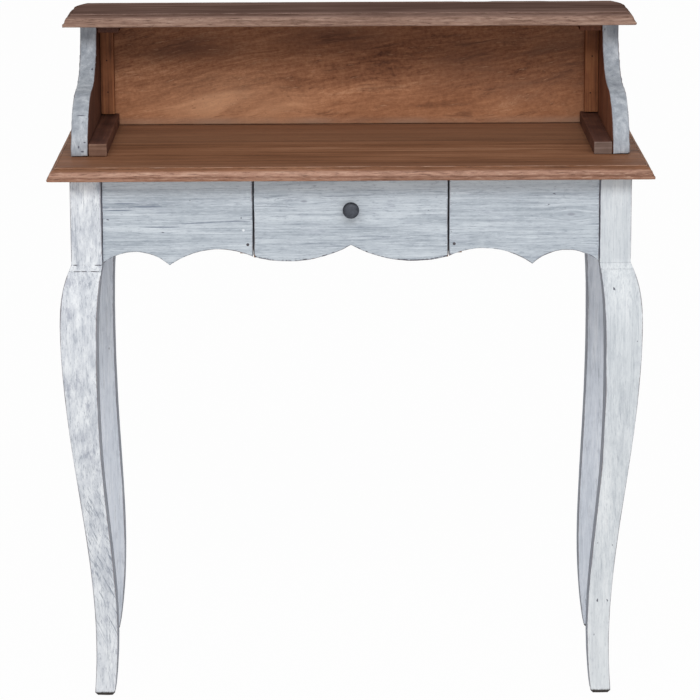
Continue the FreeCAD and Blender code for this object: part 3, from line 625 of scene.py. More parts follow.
def figured_wood(name, stops, dark_line):
    """The gallery's back: a swirling figure over level grain, darker in places towards the top, with smoke in
    the wood and painted shade under the shelf.
    """
    f = Finish(name)
    slanted = f.stretch((1, 1, 1), turn=(0, FIGURE_SLANT, 0), place=swayed(f, "X", 0.09))
    cloud = f.noise(f.stretch((5, 5, 17), place=slanted), detail=5, rough=0.62, swirl=1.1)
    sweep = f.noise(f.stretch((10, 10, 80), place=slanted), detail=7, rough=0.74, swirl=0.7)
    fine = f.streaks("X", 30, 260, slanted, detail=5, rough=0.72)
    fleck = f.streaks("X", 60, 190, slanted, detail=4, rough=0.65)
    speckle = f.noise(f.place, scale=190, detail=4, rough=0.7)
    broad = f.noise(f.place, scale=6, detail=3)
    tone = f.blend((0.26, cloud), (0.22, sweep), (0.27, fine), (0.17, speckle), (0.08, broad))
    height = f.axis("Z")
    f.shade = f.ramp(tone, stops)
    f.wash(height, 0.815, 0.748, 0.35, ORANGE)
    pale = f.maths("MULTIPLY", f.spot(PALE_PLACE, PALE_RADII, 0.0), f.span(cloud, 0.36, 0.62, 0.2, 0.55))
    f.coat(pale, PALE)
    # Darker towards the top and in places: smoke in the wood and painted shade under the shelf
    smoke_and_shade = f.span(height, *SHELF_SHADE_HEIGHTS, 0.0, 0.4)
    for centre, radii in SMOKE_AND_SHADE_SPOTS:
        smoke_and_shade = f.maths("MAXIMUM", smoke_and_shade, f.spot(centre, radii, 0.0))
    smoke_and_shade = f.maths("MULTIPLY", smoke_and_shade, f.span(f.blend((0.5, cloud), (0.5, sweep)), 0.43, 0.57, 0.0, 0.8))
    f.coat(smoke_and_shade, SMOKE_AND_SHADE)
    f.wash(sweep, 0.56, 0.66, 0.6, dark_line)
    f.wash(fleck, 0.61, 0.71, 0.5, dark_line)
    f.wash(speckle, 0.60, 0.70, 0.5, dark_line)
    f.wash(fine, 0.42, 0.32, 0.55, stops[-1][1])
    dusty = f.maths("MULTIPLY", f.span(height, *DUST_HEIGHTS), f.span(broad, 0.42, 0.58, 0.2, 0.8))
    f.coat(dusty, DUST)
    # A dark line at the panel's foot: painted shade of a gap there
    f.wash(height, 0.7418, 0.7408, 0.85, FOOT_GAP_SHADE)
    f.wash(f.blend((0.7, f.read("wear")), (0.6, fine)), 0.8, 1.15, 0.3, stops[-1][1])
    f.bump(f.blend((0.5, fine), (0.3, sweep)), 0.0004, 0.45)
    return f.done(f.span(fine, 0.3, 0.7, 0.5, 0.68), gloss=0.1)


def strip_wood(name, grain, stops, dark_line, marks=()):
    """Narrow brown strips with straight grain and a few dark lines."""
    f = Finish(name)
    streak = f.streaks(grain, 4, 90, detail=5, rough=0.65, swirl=0.2)
    fine = f.streaks(grain, 14, 420, detail=3)
    patch = f.noise(f.place, scale=26, detail=4, rough=0.6)
    f.shade = f.ramp(f.blend((0.4, streak), (0.25, fine), (0.35, patch)), stops)
    f.wash(streak, 0.60, 0.70, 0.7, dark_line)
    f.wash(f.blend((0.7, f.read("wear")), (0.6, fine)), 0.8, 1.15, 0.4, stops[-1][1])
    for centre, radii in marks:
        f.coat(f.spot(centre, radii), dark_line)
    f.wash(f.read("dirt_and_shade"), 0.35, 0.9, 0.8, dark_line)
    f.bump(f.blend((0.5, fine), (0.4, streak)), 0.0004, 0.5)
    return f.done(f.span(fine, 0.3, 0.7, 0.55, 0.7), gloss=0.15)


def plain_wood(name, grain, stops):
    """Unfinished inside wood, planed along the grain."""
    f = Finish(name)
    streak = f.streaks(grain, 2, 80, detail=5, rough=0.6)
    fine = f.streaks(grain, 9, 420, detail=3)
    tone = f.blend((0.6, streak), (0.4, fine))
    f.shade = f.ramp(tone, stops)
    f.coat(f.maths("MULTIPLY", f.read("wear"), 0.25), stops[0][1])
    f.bump(f.blend((0.5, streak), (0.5, fine)), 0.0003, 0.4)
    return f.done(f.span(fine, 0.3, 0.7, 0.62, 0.8))


def cast_iron(name, dark, light):
    """Blackened iron with a grainy skin."""
    f = Finish(name)
    grit = f.noise(f.place, scale=900, detail=4, rough=0.65)
    blotch = f.noise(f.place, scale=160, detail=3)
    f.shade = f.ramp(f.blend((0.5, grit), (0.5, blotch)), [(0.38, dark), (0.64, light)])
    f.bump(grit, 0.0002, 0.6)
    return f.done(f.span(blotch, 0.35, 0.65, 0.45, 0.62), metal=0.45)


def screw_steel(name):
    """Dull steel with a little tarnish."""
    f = Finish(name)
    tarnish = f.noise(f.place, scale=500, detail=4)
    f.shade = f.ramp(tarnish, [(0.4, colour(112, 108, 104)), (0.62, colour(168, 168, 170))])
    f.bump(tarnish, 0.0001, 0.3)
    return f.done(f.span(tarnish, 0.35, 0.65, 0.5, 0.34), metal=0.9)


def painted_nail(name):
    """Nail heads: the upper ones painted over, the lower ones bare and dark."""
    f = Finish(name)
    knocked = f.noise(f.place, scale=240, detail=2)
    f.shade = f.ramp(knocked, [(0.35, colour(180, 188, 196)), (0.6, colour(196, 204, 211))])
    f.coat(f.span(f.axis("Z"), 0.675, 0.665), colour(66, 62, 68))
    f.bump(knocked, 0.0002, 0.5)
    return f.done(f.span(knocked, 0.4, 0.6, 0.45, 0.65))


APRON_SHADES = three_shades((144, 153, 163), (187, 195, 203), (214, 221, 227))
APRON_PAINT = {grain: whitewash("whitewashed_apron_" + grain, grain, APRON_SHADES, brush=1.05, mottle=0.14,
                                lines=0.8, smudges=0.25, chips=0.55, dashes=0.45, painted_top_light=0.5, marks=marks)
               for grain, marks in (("X", APRON_MARKS), ("Y", ()))}
LEG_SHADES = three_shades((186, 191, 200), (216, 220, 226), (240, 243, 246))
CLEAN_LEG_SHADES = three_shades((190, 196, 202), (217, 222, 226), (238, 241, 243))
CLEAN_LEG_PAINT = whitewash("white_right_leg", "Z", CLEAN_LEG_SHADES, lines=0.3, smudges=0.15,
                            edge=0.75, dashes=0.2, painted_foot_light=0.4, painted_block_shade=0.34)
RUBBED_LEG_PAINT = whitewash("white_left_leg", "Z", LEG_SHADES, brush=0.42, mottle=0.6, lines=0.45,
                             smudges=0.7, chips=0.4, edge=1.3, dashes=0.5, hatch=0.75, painted_foot_light=0.3)
REAR_LEG_SHADES = three_shades((188, 195, 206), (214, 220, 230), (230, 234, 241))
REAR_LEG_PAINT = whitewash("grey_rear_leg", "Z", REAR_LEG_SHADES, brush=0.9, edge=0.6)
# The legs' inner side faces: a greyer paint that is painted shade, as those faces get less light
SHADED_LEG_SIDE_SHADES = three_shades((128, 134, 146), (152, 158, 170), (178, 184, 194))
SHADED_LEG_SIDE_PAINT = whitewash("shaded_leg_side", "Z", SHADED_LEG_SIDE_SHADES, mottle=0.3)
GALLERY_SHADES = three_shades((140, 146, 155), (172, 178, 186), (202, 207, 213))
GALLERY_PAINT = whitewash("gallery_paint", "Z", GALLERY_SHADES, brush=0.5, mottle=0.5, lines=0.45,
                          smudges=0.4, chips=1.1, edge=1.2, dashes=0.2, marks=GALLERY_MARKS)
TOP_STOPS = [(0.40, colour(88, 56, 40)), (0.47, colour(124, 84, 60)), (0.53, colour(146, 101, 74)),
             (0.61, colour(172, 128, 100))]
TOP_LIP_WEAR_AND_HIGHLIGHT = three_stops((104, 70, 56), (152, 113, 95), (188, 150, 130))
TOP_OVOLO_WEAR_AND_HIGHLIGHT = three_stops((124, 90, 74), (178, 138, 119), (210, 176, 157))
TOP_WORN = colour(206, 172, 152)
TOP_DIRT_AND_SHADE = colour(60, 37, 29)
TOP_WOOD = brown_wood("brown_top", TOP_STOPS, TOP_LIP_WEAR_AND_HIGHLIGHT, TOP_OVOLO_WEAR_AND_HIGHLIGHT, TOP_WORN, TOP_DIRT_AND_SHADE, 0.06,
                      painted_front_shade=0.42, painted_back_light=0.36)
# The shelf's shades are greyer than the desktop's: its wood with a painted reflection of the white backdrop,
# as its gloss is off
SHELF_SHEEN_STOPS = three_stops((72, 53, 46), (115, 90, 81), (156, 128, 116))
SHELF_LIP_WEAR_AND_HIGHLIGHT = three_stops((106, 80, 68), (156, 126, 111), (192, 162, 146))
SHELF_OVOLO_WEAR_AND_HIGHLIGHT = three_stops((98, 74, 63), (150, 121, 107), (186, 158, 143))
SHELF_WORN = colour(180, 152, 138)
SHELF_WOOD = brown_wood("brown_shelf", SHELF_SHEEN_STOPS, SHELF_LIP_WEAR_AND_HIGHLIGHT, SHELF_OVOLO_WEAR_AND_HIGHLIGHT, SHELF_WORN, TOP_DIRT_AND_SHADE, 0.0)
BACK_STOPS = [(0.40, colour(84, 50, 38)), (0.46, colour(134, 88, 63)), (0.53, colour(174, 122, 90)),
              (0.60, colour(210, 160, 124))]
BACK_WOOD = figured_wood("gallery_back_wood", BACK_STOPS, colour(88, 54, 40))
BATTEN_STOPS = three_stops((96, 56, 36), (140, 88, 58), (170, 116, 78))
BATTEN_WOOD = strip_wood("gallery_batten", "Z", BATTEN_STOPS, colour(60, 34, 24), BATTEN_MARKS)
# Painted shade for the recesses behind the gallery sides
SHADED_STOPS = three_stops((62, 38, 32), (88, 56, 46), (118, 80, 64))
DARK_LINE = colour(44, 26, 22)
CLEAT_WOOD = strip_wood("floor_cleat", "Y", SHADED_STOPS, DARK_LINE)
REDDISH_STOPS = three_stops((84, 50, 36), (120, 74, 54), (148, 98, 72))
# The floor cleats and the inside of the gallery are darkened with painted shade for the recesses behind the
# gallery sides. The inside of the gallery is darker on the left than on the right
BAY_STOPS = {"left": SHADED_STOPS, "right": REDDISH_STOPS}
INSIDE_WOOD = {side: strip_wood("gallery_inside_" + side, "Z", stops, DARK_LINE)
               for side, stops in BAY_STOPS.items()}
SHELF_CLEAT_WOOD = {side: strip_wood("shelf_cleat_" + side, "Y", stops, DARK_LINE)
                    for side, stops in BAY_STOPS.items()}
END_STOPS = three_stops((86, 60, 49), (123, 92, 76), (150, 120, 103))
PALE_END_STOPS = three_stops((90, 71, 63), (118, 98, 89), (146, 126, 117))
CLEAT_END = {"left": strip_wood("cleat_end_left", "X", END_STOPS, colour(76, 48, 38)),
             "right": strip_wood("cleat_end_right", "X", PALE_END_STOPS, colour(84, 60, 50))}
RAW_STOPS = three_stops((140, 102, 70), (176, 134, 96), (198, 160, 122), spread=0.14)
RAW_WOOD = {grain: plain_wood("inside_wood_" + grain, grain, RAW_STOPS) for grain in "XY"}
PANEL_STOPS = three_stops((170, 134, 96), (196, 164, 124), (212, 184, 148), spread=0.14)
PANEL_WOOD = plain_wood("drawer_panel", "X", PANEL_STOPS)
IRON = cast_iron("knob_iron", colour(38, 41, 48), colour(78, 82, 91))
STEEL = screw_steel("screw_steel")
NAIL = painted_nail("painted_nail")


# Desktop and shelf

LIP_WEAR = 0.4
LIP_DIRT_AND_SHADE = 0.3
# The ovolo's painted highlight fades towards its crown, down to this share
CROWN_SHADE = 0.1
CROWN_END = 3.2 / 3.6
CROWN_FADE = 3.6


def edge_profile(thickness):
    """The moulded edge as (how far in, how high), from its underside to the top."""
    half_lip = LIP_HEIGHT / 2
    profile = []
    for turn in arc(math.pi, ARC_STEPS):
        profile.append((NOSE_IN * (1 - math.sin(turn)), half_lip * (1 - math.cos(turn))))
    start = NOSE_IN + QUIRK
    rise = thickness - STEP_HEIGHT - LIP_HEIGHT
    for turn in arc(math.pi / 2, ARC_STEPS):
        profile.append((start + OVOLO_RUN * (1 - math.cos(turn)), LIP_HEIGHT + rise * math.sin(turn)))
    profile.append((start + OVOLO_RUN, thickness))
    return profile


def moulded_board(name, node, board, finish, lip_foot):
    """A board raised from its underside, drawn in at each step along its front and both ends."""
    low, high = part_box(node)
    profile = edge_profile(high.z - low.z)
    field = profile[-1][0]
    rim = profile[0][0]
    columns = round((high.x - low.x) / TOP_CELL)
    rows = round((high.y - low.y) / TOP_CELL)
    piece = sheet(name, columns, rows, lambda column, row: (
        between(low.x + rim, high.x - rim, column / columns),
        between(low.y + rim, high.y, row / rows), low.z))
    edit(piece)
    select_all()
    depth = high.y - low.y
    for (was_in, was_up), (far_in, up) in zip(profile, profile[1:]):
        push((0, 0, up - was_up))
        draw_in = ((high.x - far_in) / (high.x - was_in), (depth - far_in) / (depth - was_in), 1)
        bpy.ops.transform.resize(value=draw_in, center_override=(0, high.y, low.z))
    close_outward()
    follow_corners(piece, node, low, high)
    ease(piece, MOULDING_EASE, 30)
    mark_edges(piece, board)
    mark_moulding(piece, low, high, field, lip_foot)
    uneven(piece, *TOP_HOLLOWS)
    uneven(piece, *TOP_CHIPS, "edges")
    dress(piece, finish)
    settle(piece, "carcass", node)


def follow_corners(piece, node, low, high):
    """Draws the ends in where the rear corners of the node are sawn round."""
    skin = 0.0002
    halves = {}
    for point in piece.data.vertices:
        row = round(point.co.y, 5)
        if row not in halves:
            start = (1, min(max(row, low.y + skin), high.y - skin), low.z + LIP_HEIGHT / 2)
            halves[row] = meet(node, start, (-1, 0, 0)).x
        point.co.x *= min(1.0, halves[row] / high.x)


def mark_moulding(piece, low, high, field, lip_foot):
    """Stores where the lip and the ovolo are along the front, for their lighter colour: rubbed wood with a
    painted highlight.
    It fades towards the lip's foot and the ovolo's crown. There is little wear, dirt and painted shade about
    the lip."""
    skin = 0.0006
    bare = [0.0] * len(piece.data.vertices)
    marks = {"wear": stored(piece, "wear"), "dirt_and_shade": stored(piece, "dirt_and_shade"), "lip": list(bare), "ovolo": bare}
    for point in piece.data.vertices:
        rise = point.co.z - low.z
        if rise < LIP_HEIGHT + 2 * skin:
            marks["wear"][point.index] *= LIP_WEAR
            marks["dirt_and_shade"][point.index] *= LIP_DIRT_AND_SHADE
        if point.co.y - low.y > field + skin:
            continue
        crown = (rise - LIP_HEIGHT) / (high.z - low.z - STEP_HEIGHT - LIP_HEIGHT)
        if skin < rise < LIP_HEIGHT + skin:
            marks["lip"][point.index] = between(lip_foot, 1.0, rise / LIP_HEIGHT)
        elif LIP_HEIGHT + skin < rise < high.z - low.z - skin:
            marks["ovolo"][point.index] = min(1.0, max(CROWN_SHADE, (CROWN_END - crown) * CROWN_FADE))
    for name, values in marks.items():
        store(piece, name, values)


moulded_board("moulded_desktop", "desktop", 1.0, TOP_WOOD, 0.6)
moulded_board("moulded_shelf", "gallery_shelf", 4.0, SHELF_WOOD, 0.9)


# Legs

def leg_sections(node, deep):
    """A leg's block faces, then (height, outer, inner) from the top down, measured from those faces.
    deep is the way that its outer face looks along Y."""
    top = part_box(node)[1].z
    inward = Vector((-1, 0, 0))
    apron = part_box("apron_front_right" if deep < 0 else "apron_back")
    y = apron[1].y if deep < 0 else apron[0].y
    block_out = meet(node, (1, y, top - COLLAR), inward).x
    block_face = meet(node, (apron[1].x, deep, top - COLLAR), (0, -deep, 0)).y
    block_bottom = top - LEG_BLOCK
    scribes = [block_bottom, block_bottom - COLLAR]
    stops = [top, scribes[0] + SCRIBE_HALF, scribes[0], scribes[0] - SCRIBE_HALF, scribes[1] + SCRIBE_HALF,
             scribes[1], scribes[1] - SCRIBE_HALF, FOOT_CHAMFER, SOLE_SKIM]
    sections = []
    for height in stations(stops, LEG_CELL):
        ray_height = min(height, top - SOLE_SKIM)
        outer = meet(node, (1, y, ray_height), inward).x - block_out
        inner = meet(node, (0, y, ray_height), -inward).x - block_out
        y = block_face + deep * (outer + inner) / 2
        sunk = SCRIBE_DEPTH if height in scribes else 0.0
        sections.append((height, outer - sunk, inner + sunk))
    return block_out, block_face, sections


def model_leg(node, deep):
    """A right leg, extruded down from the top of its block section by section, with two lines scribed
    round it under the block."""
    block_out, block_face, sections = leg_sections(node, deep)
    top, outer, inner = sections[0]
    last = len(LEG_COLUMNS) - 1
    piece = sheet("pattern_" + node, last, last, lambda column, row: (
        block_out + between(inner, outer, LEG_COLUMNS[column]),
        block_face + deep * between(outer, inner, LEG_COLUMNS[row]), top))
    edit(piece)
    select_all()
    for (was, was_out, was_in), (height, outer, inner) in zip(sections, sections[1:]):
        push((0, 0, height - was))
        grow = (outer - inner) / (was_out - was_in)
        middle = (was_out + was_in) / 2
        centre = (block_out + middle, block_face + deep * middle, height)
        bpy.ops.transform.resize(value=(grow, grow, 1), center_override=centre)
        shift = (outer + inner) / 2 - middle
        bpy.ops.transform.translate(value=(shift, deep * shift, 0))
    close_outward()
    ease(piece, LEG_EASE, shortest=SHORT_EDGE)
    return piece, top - LEG_BLOCK


def finish_legs():
    """Each pair's leg is modelled once, for the right, and mirrored for the left."""
    for pair, deep, boards, finishes in (("front", -1, (11.0, 12.0), (CLEAN_LEG_PAINT, RUBBED_LEG_PAINT)),
                                         ("rear", 1, (13.0, 14.0), (REAR_LEG_PAINT, REAR_LEG_PAINT))):
        pattern, block_bottom = model_leg("leg_%s_right" % pair, deep)
        for side, hand, board, finish in zip(("right", "left"), (1, -1), boards, finishes):
            node = "leg_%s_%s" % (pair, side)
            leg = bpy.data.objects.new("cabriole_" + node, pattern.data.copy())
            bpy.context.scene.collection.objects.link(leg)
            leg.data.transform(Matrix.Diagonal((hand, 1, 1, 1)))
            edit(leg)
            close_outward()
            mark_edges(leg, board)
            mark_scribes(leg, block_bottom, 1.0 if hand < 0 else FAINT_SCRIBE)
            uneven(leg, *LEG_HOLLOWS)
            uneven(leg, *LEG_CHIPS, "edges")
            # The inner side faces take the painted shade
            dress(leg, finish, SHADED_LEG_SIDE_PAINT)
            paint_faces(leg, 1, lambda face: face.normal.x * hand < -LEG_SIDE_LOOKS)
            settle(leg, "carcass", node)
        bpy.data.objects.remove(pattern)


def mark_scribes(leg, block_bottom, amount):
    """Dirt lies in the two lines scribed round the leg, and nowhere else on it. Their rims are not worn."""
    dirt_and_shade = [0.0] * len(leg.data.vertices)
    wear = stored(leg, "wear")
    for vertex in leg.data.vertices:
        away = min(abs(vertex.co.z - line) for line in (block_bottom, block_bottom - COLLAR))
        if away < SCRIBE_HALF / 2:
            dirt_and_shade[vertex.index] = amount
        if away < SCRIBE_HALF * 2:
            wear[vertex.index] *= SCRIBE_WEAR
    store(leg, "dirt_and_shade", dirt_and_shade)
    store(leg, "wear", wear)


finish_legs()


# Aprons and drawer front: how deep in a board its sawn edge is measured, and in what steps its cusp
# is looked for
SAW_SHARE = 0.2
CUSP_STEP = 0.0005


def underside(node, axis, place, depth):
    """The height of a board's sawn lower edge at a place along it."""
    start = (place, depth, 0) if axis == "X" else (depth, place, 0)
    return meet(node, start, (0, 0, 1)).z


def lowest_place(node, axis, start, finish, depth):
    """Where the sawn edge hangs lowest between two places."""
    places = stations([start, finish], CUSP_STEP)[1:-1]
    return min(places, key=lambda place: underside(node, axis, place, depth))


def sawn_board(name, node, axis, stops, face, back, top):
    """A board whose lower edge is sawn to the node's scallops. face and back are its two sides."""
    skim = between(face, back, SAW_SHARE)
    places = stations(stops, BOARD_CELL)
    tiny = 0.00005
    inside = [min(max(place, min(stops) + tiny), max(stops) - tiny) for place in places]
    drops = [top - underside(node, axis, place, skim) for place in inside]
    rows = round(max(drops) / BOARD_CELL)

    def corner(column, row):
        height = top - drops[column] * row / rows
        return (places[column], face, height) if axis == "X" else (face, places[column], height)

    piece = sheet(name, len(places) - 1, rows, corner)
    thicken(piece, (0, back - face, 0) if axis == "X" else (back - face, 0, 0))
    return piece


UNDER = -0.6
NEARLY_UNDER = -0.08
# How much painted shade and dirt lies on the faces beside the sawn lower edges
APRON_EDGE_SHADE_AND_DIRT = 0.75
DRAWER_EDGE_SHADE_AND_DIRT = 1.2
END_REACH = 0.0025


def mark_underside(piece, beside):
    """Painted shade and dirt lie along the sawn lower edge, where it faces down, and some of them on the
    faces beside that edge.
    """
    store(piece, "dirt_and_shade", [1.0 if point.normal.z < UNDER else beside if point.normal.z < NEARLY_UNDER else 0.0
                          for point in piece.data.vertices])


def square_end(piece, seam, behind):
    """Planes an apron's end square again behind that depth, so that no light passes beside the drawer."""
    for point in piece.data.vertices:
        if abs(point.co.x - seam) < END_REACH and point.co.y > behind:
            point.co.x = seam


def finish_sawn(piece, board, node, body, paint, inside_wood, is_inside, edge_shade_and_dirt=APRON_EDGE_SHADE_AND_DIRT):
    ease(piece, PAINT_EASE)
    mark_edges(piece, board)
    mark_underside(piece, edge_shade_and_dirt)
    uneven(piece, *APRON_HOLLOWS)
    uneven(piece, *APRON_CHIPS, "edges")
    dress(piece, paint, inside_wood)
    paint_faces(piece, 1, is_inside)
    settle(piece, body, node)


def finish_front():
    leg_in = meet("leg_front_right", (0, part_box("apron_front_right")[1].y, BLOCK_HEIGHT), (1, 0, 0)).x
    for hand, side, board in ((-1, "left", 21.0), (1, "right", 22.0)):
        node = "apron_front_" + side
        low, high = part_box(node)
        seam = low.x if hand > 0 else high.x
        skim = between(low.y, high.y, SAW_SHARE)
        end = hand * leg_in
        cusp = lowest_place(node, "X", between(seam, end, 0.3), between(seam, end, 0.8), skim)
        stops = sorted([seam, cusp, end])
        piece = sawn_board("scalloped_" + node, node, "X", stops, low.y, high.y, high.z)
        finish_sawn(piece, board, node, "carcass", APRON_PAINT["X"], RAW_WOOD["X"],
                    lambda face: face.normal.y > LOOKS)
        square_end(piece, seam, between(low.y, high.y, 0.5))
    low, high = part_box("drawer_front")
    side_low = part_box("drawer_side_right")[0]
    rabbet = side_low.y
    inside = side_low.x
    stops = [low.x, -inside, 0, inside, high.x]
    piece = sawn_board("scalloped_drawer_front", "drawer_front", "X", stops, low.y, rabbet, high.z)
    edit(piece, "FACE")
    close()
    for face in piece.data.polygons:
        face.select = face.normal.y > 0.9 and (abs(face.center.x) < inside or face.center.z < side_low.z)
    bpy.ops.object.mode_set(mode="EDIT")
    push((0, high.y - rabbet, 0))
    close_outward()
    finish_sawn(piece, 26.5, "drawer_front", "drawer", APRON_PAINT["X"], RAW_WOOD["X"],
                lambda face: face.center.y > rabbet - 0.001, DRAWER_EDGE_SHADE_AND_DIRT)


def finish_sides():
    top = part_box("apron_side_right")[1].z
    for hand, side, board in ((-1, "left", 24.0), (1, "right", 25.0)):
        node = "apron_side_" + side
        low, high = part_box(node)
        face, back = (high.x, low.x) if hand > 0 else (low.x, high.x)
        start = (low.x if hand > 0 else -high.x, 0, top - COLLAR)
        front = meet("leg_front_right", start, (0, -1, 0)).y
        rear = meet("leg_rear_right", start, (0, 1, 0)).y
        skim = between(face, back, SAW_SHARE)
        cusp = lowest_place(node, "Y", between(front, rear, 0.3), between(front, rear, 0.7), skim)
        piece = sawn_board("scalloped_" + node, node, "Y", [front, cusp, rear], face, back, top)
        finish_sawn(piece, board, node, "carcass", APRON_PAINT["Y"], RAW_WOOD["Y"],
                    lambda face: face.normal.x * hand < -LOOKS)


finish_front()
finish_sides()


# Gallery sides

OGEE_TURN = 0.077
OGEE_DEPTH = 0.194
GALLERY_TOP_DEPTH = 0.087
OGEE_STEPS = 22


def ogee(low, high):
    """The front edge of a gallery side as (y, z) places: a bulge, then a hollow under the shelf."""
    turn_y = high.y - OGEE_DEPTH
    turn_z = low.z + OGEE_TURN
    top_y = high.y - GALLERY_TOP_DEPTH
    angles = arc(math.pi / 2, OGEE_STEPS)
    bulge = [(between(low.y, turn_y, 1 - math.cos(angle)), between(low.z, turn_z, math.sin(angle)))
             for angle in angles]
    hollow = [(between(turn_y, top_y, math.sin(angle)), between(turn_z, high.z, 1 - math.cos(angle)))
              for angle in angles[1:]]
    return bulge + hollow


def mark_foot(piece, bottom):
    """Dirt and painted shade lie along the foot of a piece that stands on the desktop."""
    store(piece, "dirt_and_shade", [1.0 if point.co.z < bottom + PAINT_EASE else 0.0 for point in piece.data.vertices])


def finish_gallery_sides():
    for hand, side, board in ((-1, "left", 31.0), (1, "right", 32.0)):
        node = "gallery_side_" + side
        low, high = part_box(node)
        outline = ogee(low, high) + [(high.y, high.z), (high.y, low.z)]
        inner, outer = (low.x, high.x) if hand > 0 else (high.x, low.x)
        bpy.ops.object.select_all(action="DESELECT")
        bpy.ops.mesh.primitive_circle_add(vertices=len(outline), fill_type="NGON")
        piece = bpy.context.object
        piece.name = "ogee_" + node
        piece.data.name = piece.name
        for vertex, (y, z) in zip(piece.data.vertices, outline):
            vertex.co = (inner, y, z)
        thicken(piece, (outer - inner, 0, 0))
        ease(piece, PAINT_EASE)
        cut_up(piece, STRIP_CELL)
        mark_edges(piece, board)
        uneven(piece, *GALLERY_HOLLOWS)
        uneven(piece, *GALLERY_CHIPS, "edges")
        mark_foot(piece, low.z)
        dress(piece, GALLERY_PAINT, INSIDE_WOOD[side])
        paint_faces(piece, 1, lambda face: face.normal.x * hand < -LOOKS)
        settle(piece, "carcass", node)


finish_gallery_sides()


# Straight boards and strips

def eased_board(node, body, finish, board):
    """A straight board or strip with its edges eased and its surfaces a little uneven."""
    piece = bpy.data.objects.new("eased_" + node, nodes[node].data.copy())
    bpy.context.scene.collection.objects.link(piece)
    edit(piece)
    select_all()
    bpy.ops.mesh.remove_doubles(threshold=MERGE_REACH)
    bpy.ops.mesh.dissolve_limited(angle_limit=math.radians(1))
    close()
    ease(piece, WOOD_EASE, shortest=SHORT_EDGE)
    cut_up(piece, STRIP_CELL)
    mark_edges(piece, board)
    uneven(piece, *STRIP_HOLLOWS)
    dress(piece, finish)
    settle(piece, body, node)
    return piece


eased_board("gallery_back", "carcass", BACK_WOOD, 40.0)
for hand, side in enumerate(("left", "right")):
    cleat = eased_board("floor_cleat_" + side, "carcass", CLEAT_WOOD, 41.0 + hand)
    mark_foot(cleat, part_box("floor_cleat_" + side)[0].z)
    # The cleat's front end takes its own lighter colour, out of the painted shade on its top and sides
    cleat.data.materials.append(CLEAT_END[side])
    paint_faces(cleat, 1, lambda face: face.normal.y < -LOOKS)
    eased_board("corner_batten_" + side, "carcass", BATTEN_WOOD, 43.0 + hand)
    eased_board("shelf_cleat_" + side, "carcass", SHELF_CLEAT_WOOD[side], 45.0 + hand)
    eased_board("drawer_partition_" + side, "carcass", RAW_WOOD["Y"], 47.0 + hand)
    eased_board("drawer_runner_" + side, "carcass", RAW_WOOD["Y"], 49.0 + hand)
    eased_board("drawer_side_" + side, "drawer", RAW_WOOD["Y"], 51.0 + hand)
eased_board("apron_back", "carcass", APRON_PAINT["X"], 53.0)
eased_board("drawer_stops", "carcass", RAW_WOOD["Y"], 54.0)
eased_board("drawer_back", "drawer", RAW_WOOD["X"], 55.0)
eased_board("drawer_bottom", "drawer", PANEL_WOOD, 56.0)
eased_board("fixing_blocks", "carcass", RAW_WOOD["X"], 57.0)


# Knob and fixings

KNOB_SPIN_STEPS = 48


def finish_knob():
    """A turned knob with a flat collar and a softly domed face, spun about its axis."""
    low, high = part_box("drawer_knob")
    radius = (high.x - low.x) / 2
    length = high.y - low.y
    axis = Vector((0, high.y, (low.z + high.z) / 2))
    outline = [(0.0, 0.0), (0.62, 0.0), (0.64, 0.03), (0.62, 0.09), (0.46, 0.11), (0.42, 0.2), (0.44, 0.3),
               (0.62, 0.38), (0.84, 0.47), (0.97, 0.58), (1.0, 0.68), (0.98, 0.79), (0.92, 0.88),
               (0.8, 0.945), (0.55, 0.985), (0.28, 0.998), (0.0, 1.0)]
    bpy.ops.object.select_all(action="DESELECT")
    bpy.ops.mesh.primitive_plane_add(size=0.001, location=(0, 0, 0))
    knob = bpy.context.object
    knob.name = "turned_knob"
    edit(knob)
    select_all()
    bpy.ops.mesh.merge(type="CENTER")
    bpy.ops.transform.translate(value=axis)
    for (was_r, was_out), (r, out) in zip(outline, outline[1:]):
        push(((r - was_r) * radius, -(out - was_out) * length, 0))
    select_all()
    bpy.ops.mesh.spin(steps=KNOB_SPIN_STEPS, angle=2 * math.pi, center=axis, axis=(0, 1, 0))
    select_all()
    bpy.ops.mesh.remove_doubles(threshold=MERGE_REACH)
    close_outward()
    dress(knob, IRON)
    settle(knob, "drawer", "drawer_knob", 50)


finish_knob()
for name, finish in (("knob_screw", STEEL), ("desktop_screws", STEEL), ("gallery_screws", STEEL),
                     ("shelf_screws", STEEL), ("apron_nails", NAIL)):
    for material_slot in nodes[name].material_slots:
        material_slot.material = finish


# Studio

FLOOR_SIZE = 60
FLOOR_SHADE = (0.82, 0.82, 0.82, 1)
FLOOR_GLOW = 0.975
WHITE = (1, 1, 1, 1)
KEY_DISTANCE = 5.0
KEY_ELEVATION = math.radians(36)
KEY_SIZE = (4.5, 1.6)
KEY_POWER = 122
FILL_PLACE = (0.6, -5.6, 0.9)
FILL_SIZE = (3.0, 1.2)
FILL_POWER = 42
SKY = 0.40
AIM = Vector((0, 0, 0.55))


def seen_or_mirrored(tree):
    """1 where the camera, a gloss or a clear surface looks straight at this."""
    path = tree.nodes.new("ShaderNodeLightPath")
    total = path.outputs["Is Camera Ray"]
    for kind in ("Is Glossy Ray", "Is Transmission Ray"):
        most = tree.nodes.new("ShaderNodeMath")
        most.operation = "MAXIMUM"
        tree.links.new(total, most.inputs[0])
        tree.links.new(path.outputs[kind], most.inputs[1])
        total = most.outputs["Value"]
    return total


def show_white(tree, share, plain, white, output):
    """Puts that share of white over the plain shader."""
    choose = tree.nodes.new("ShaderNodeMixShader")
    for start, finish in ((share, "Fac"), (plain.outputs[0], 1), (white.outputs[0], 2)):
        tree.links.new(start, choose.inputs[finish])
    tree.links.new(choose.outputs[0], tree.nodes[output].inputs["Surface"])


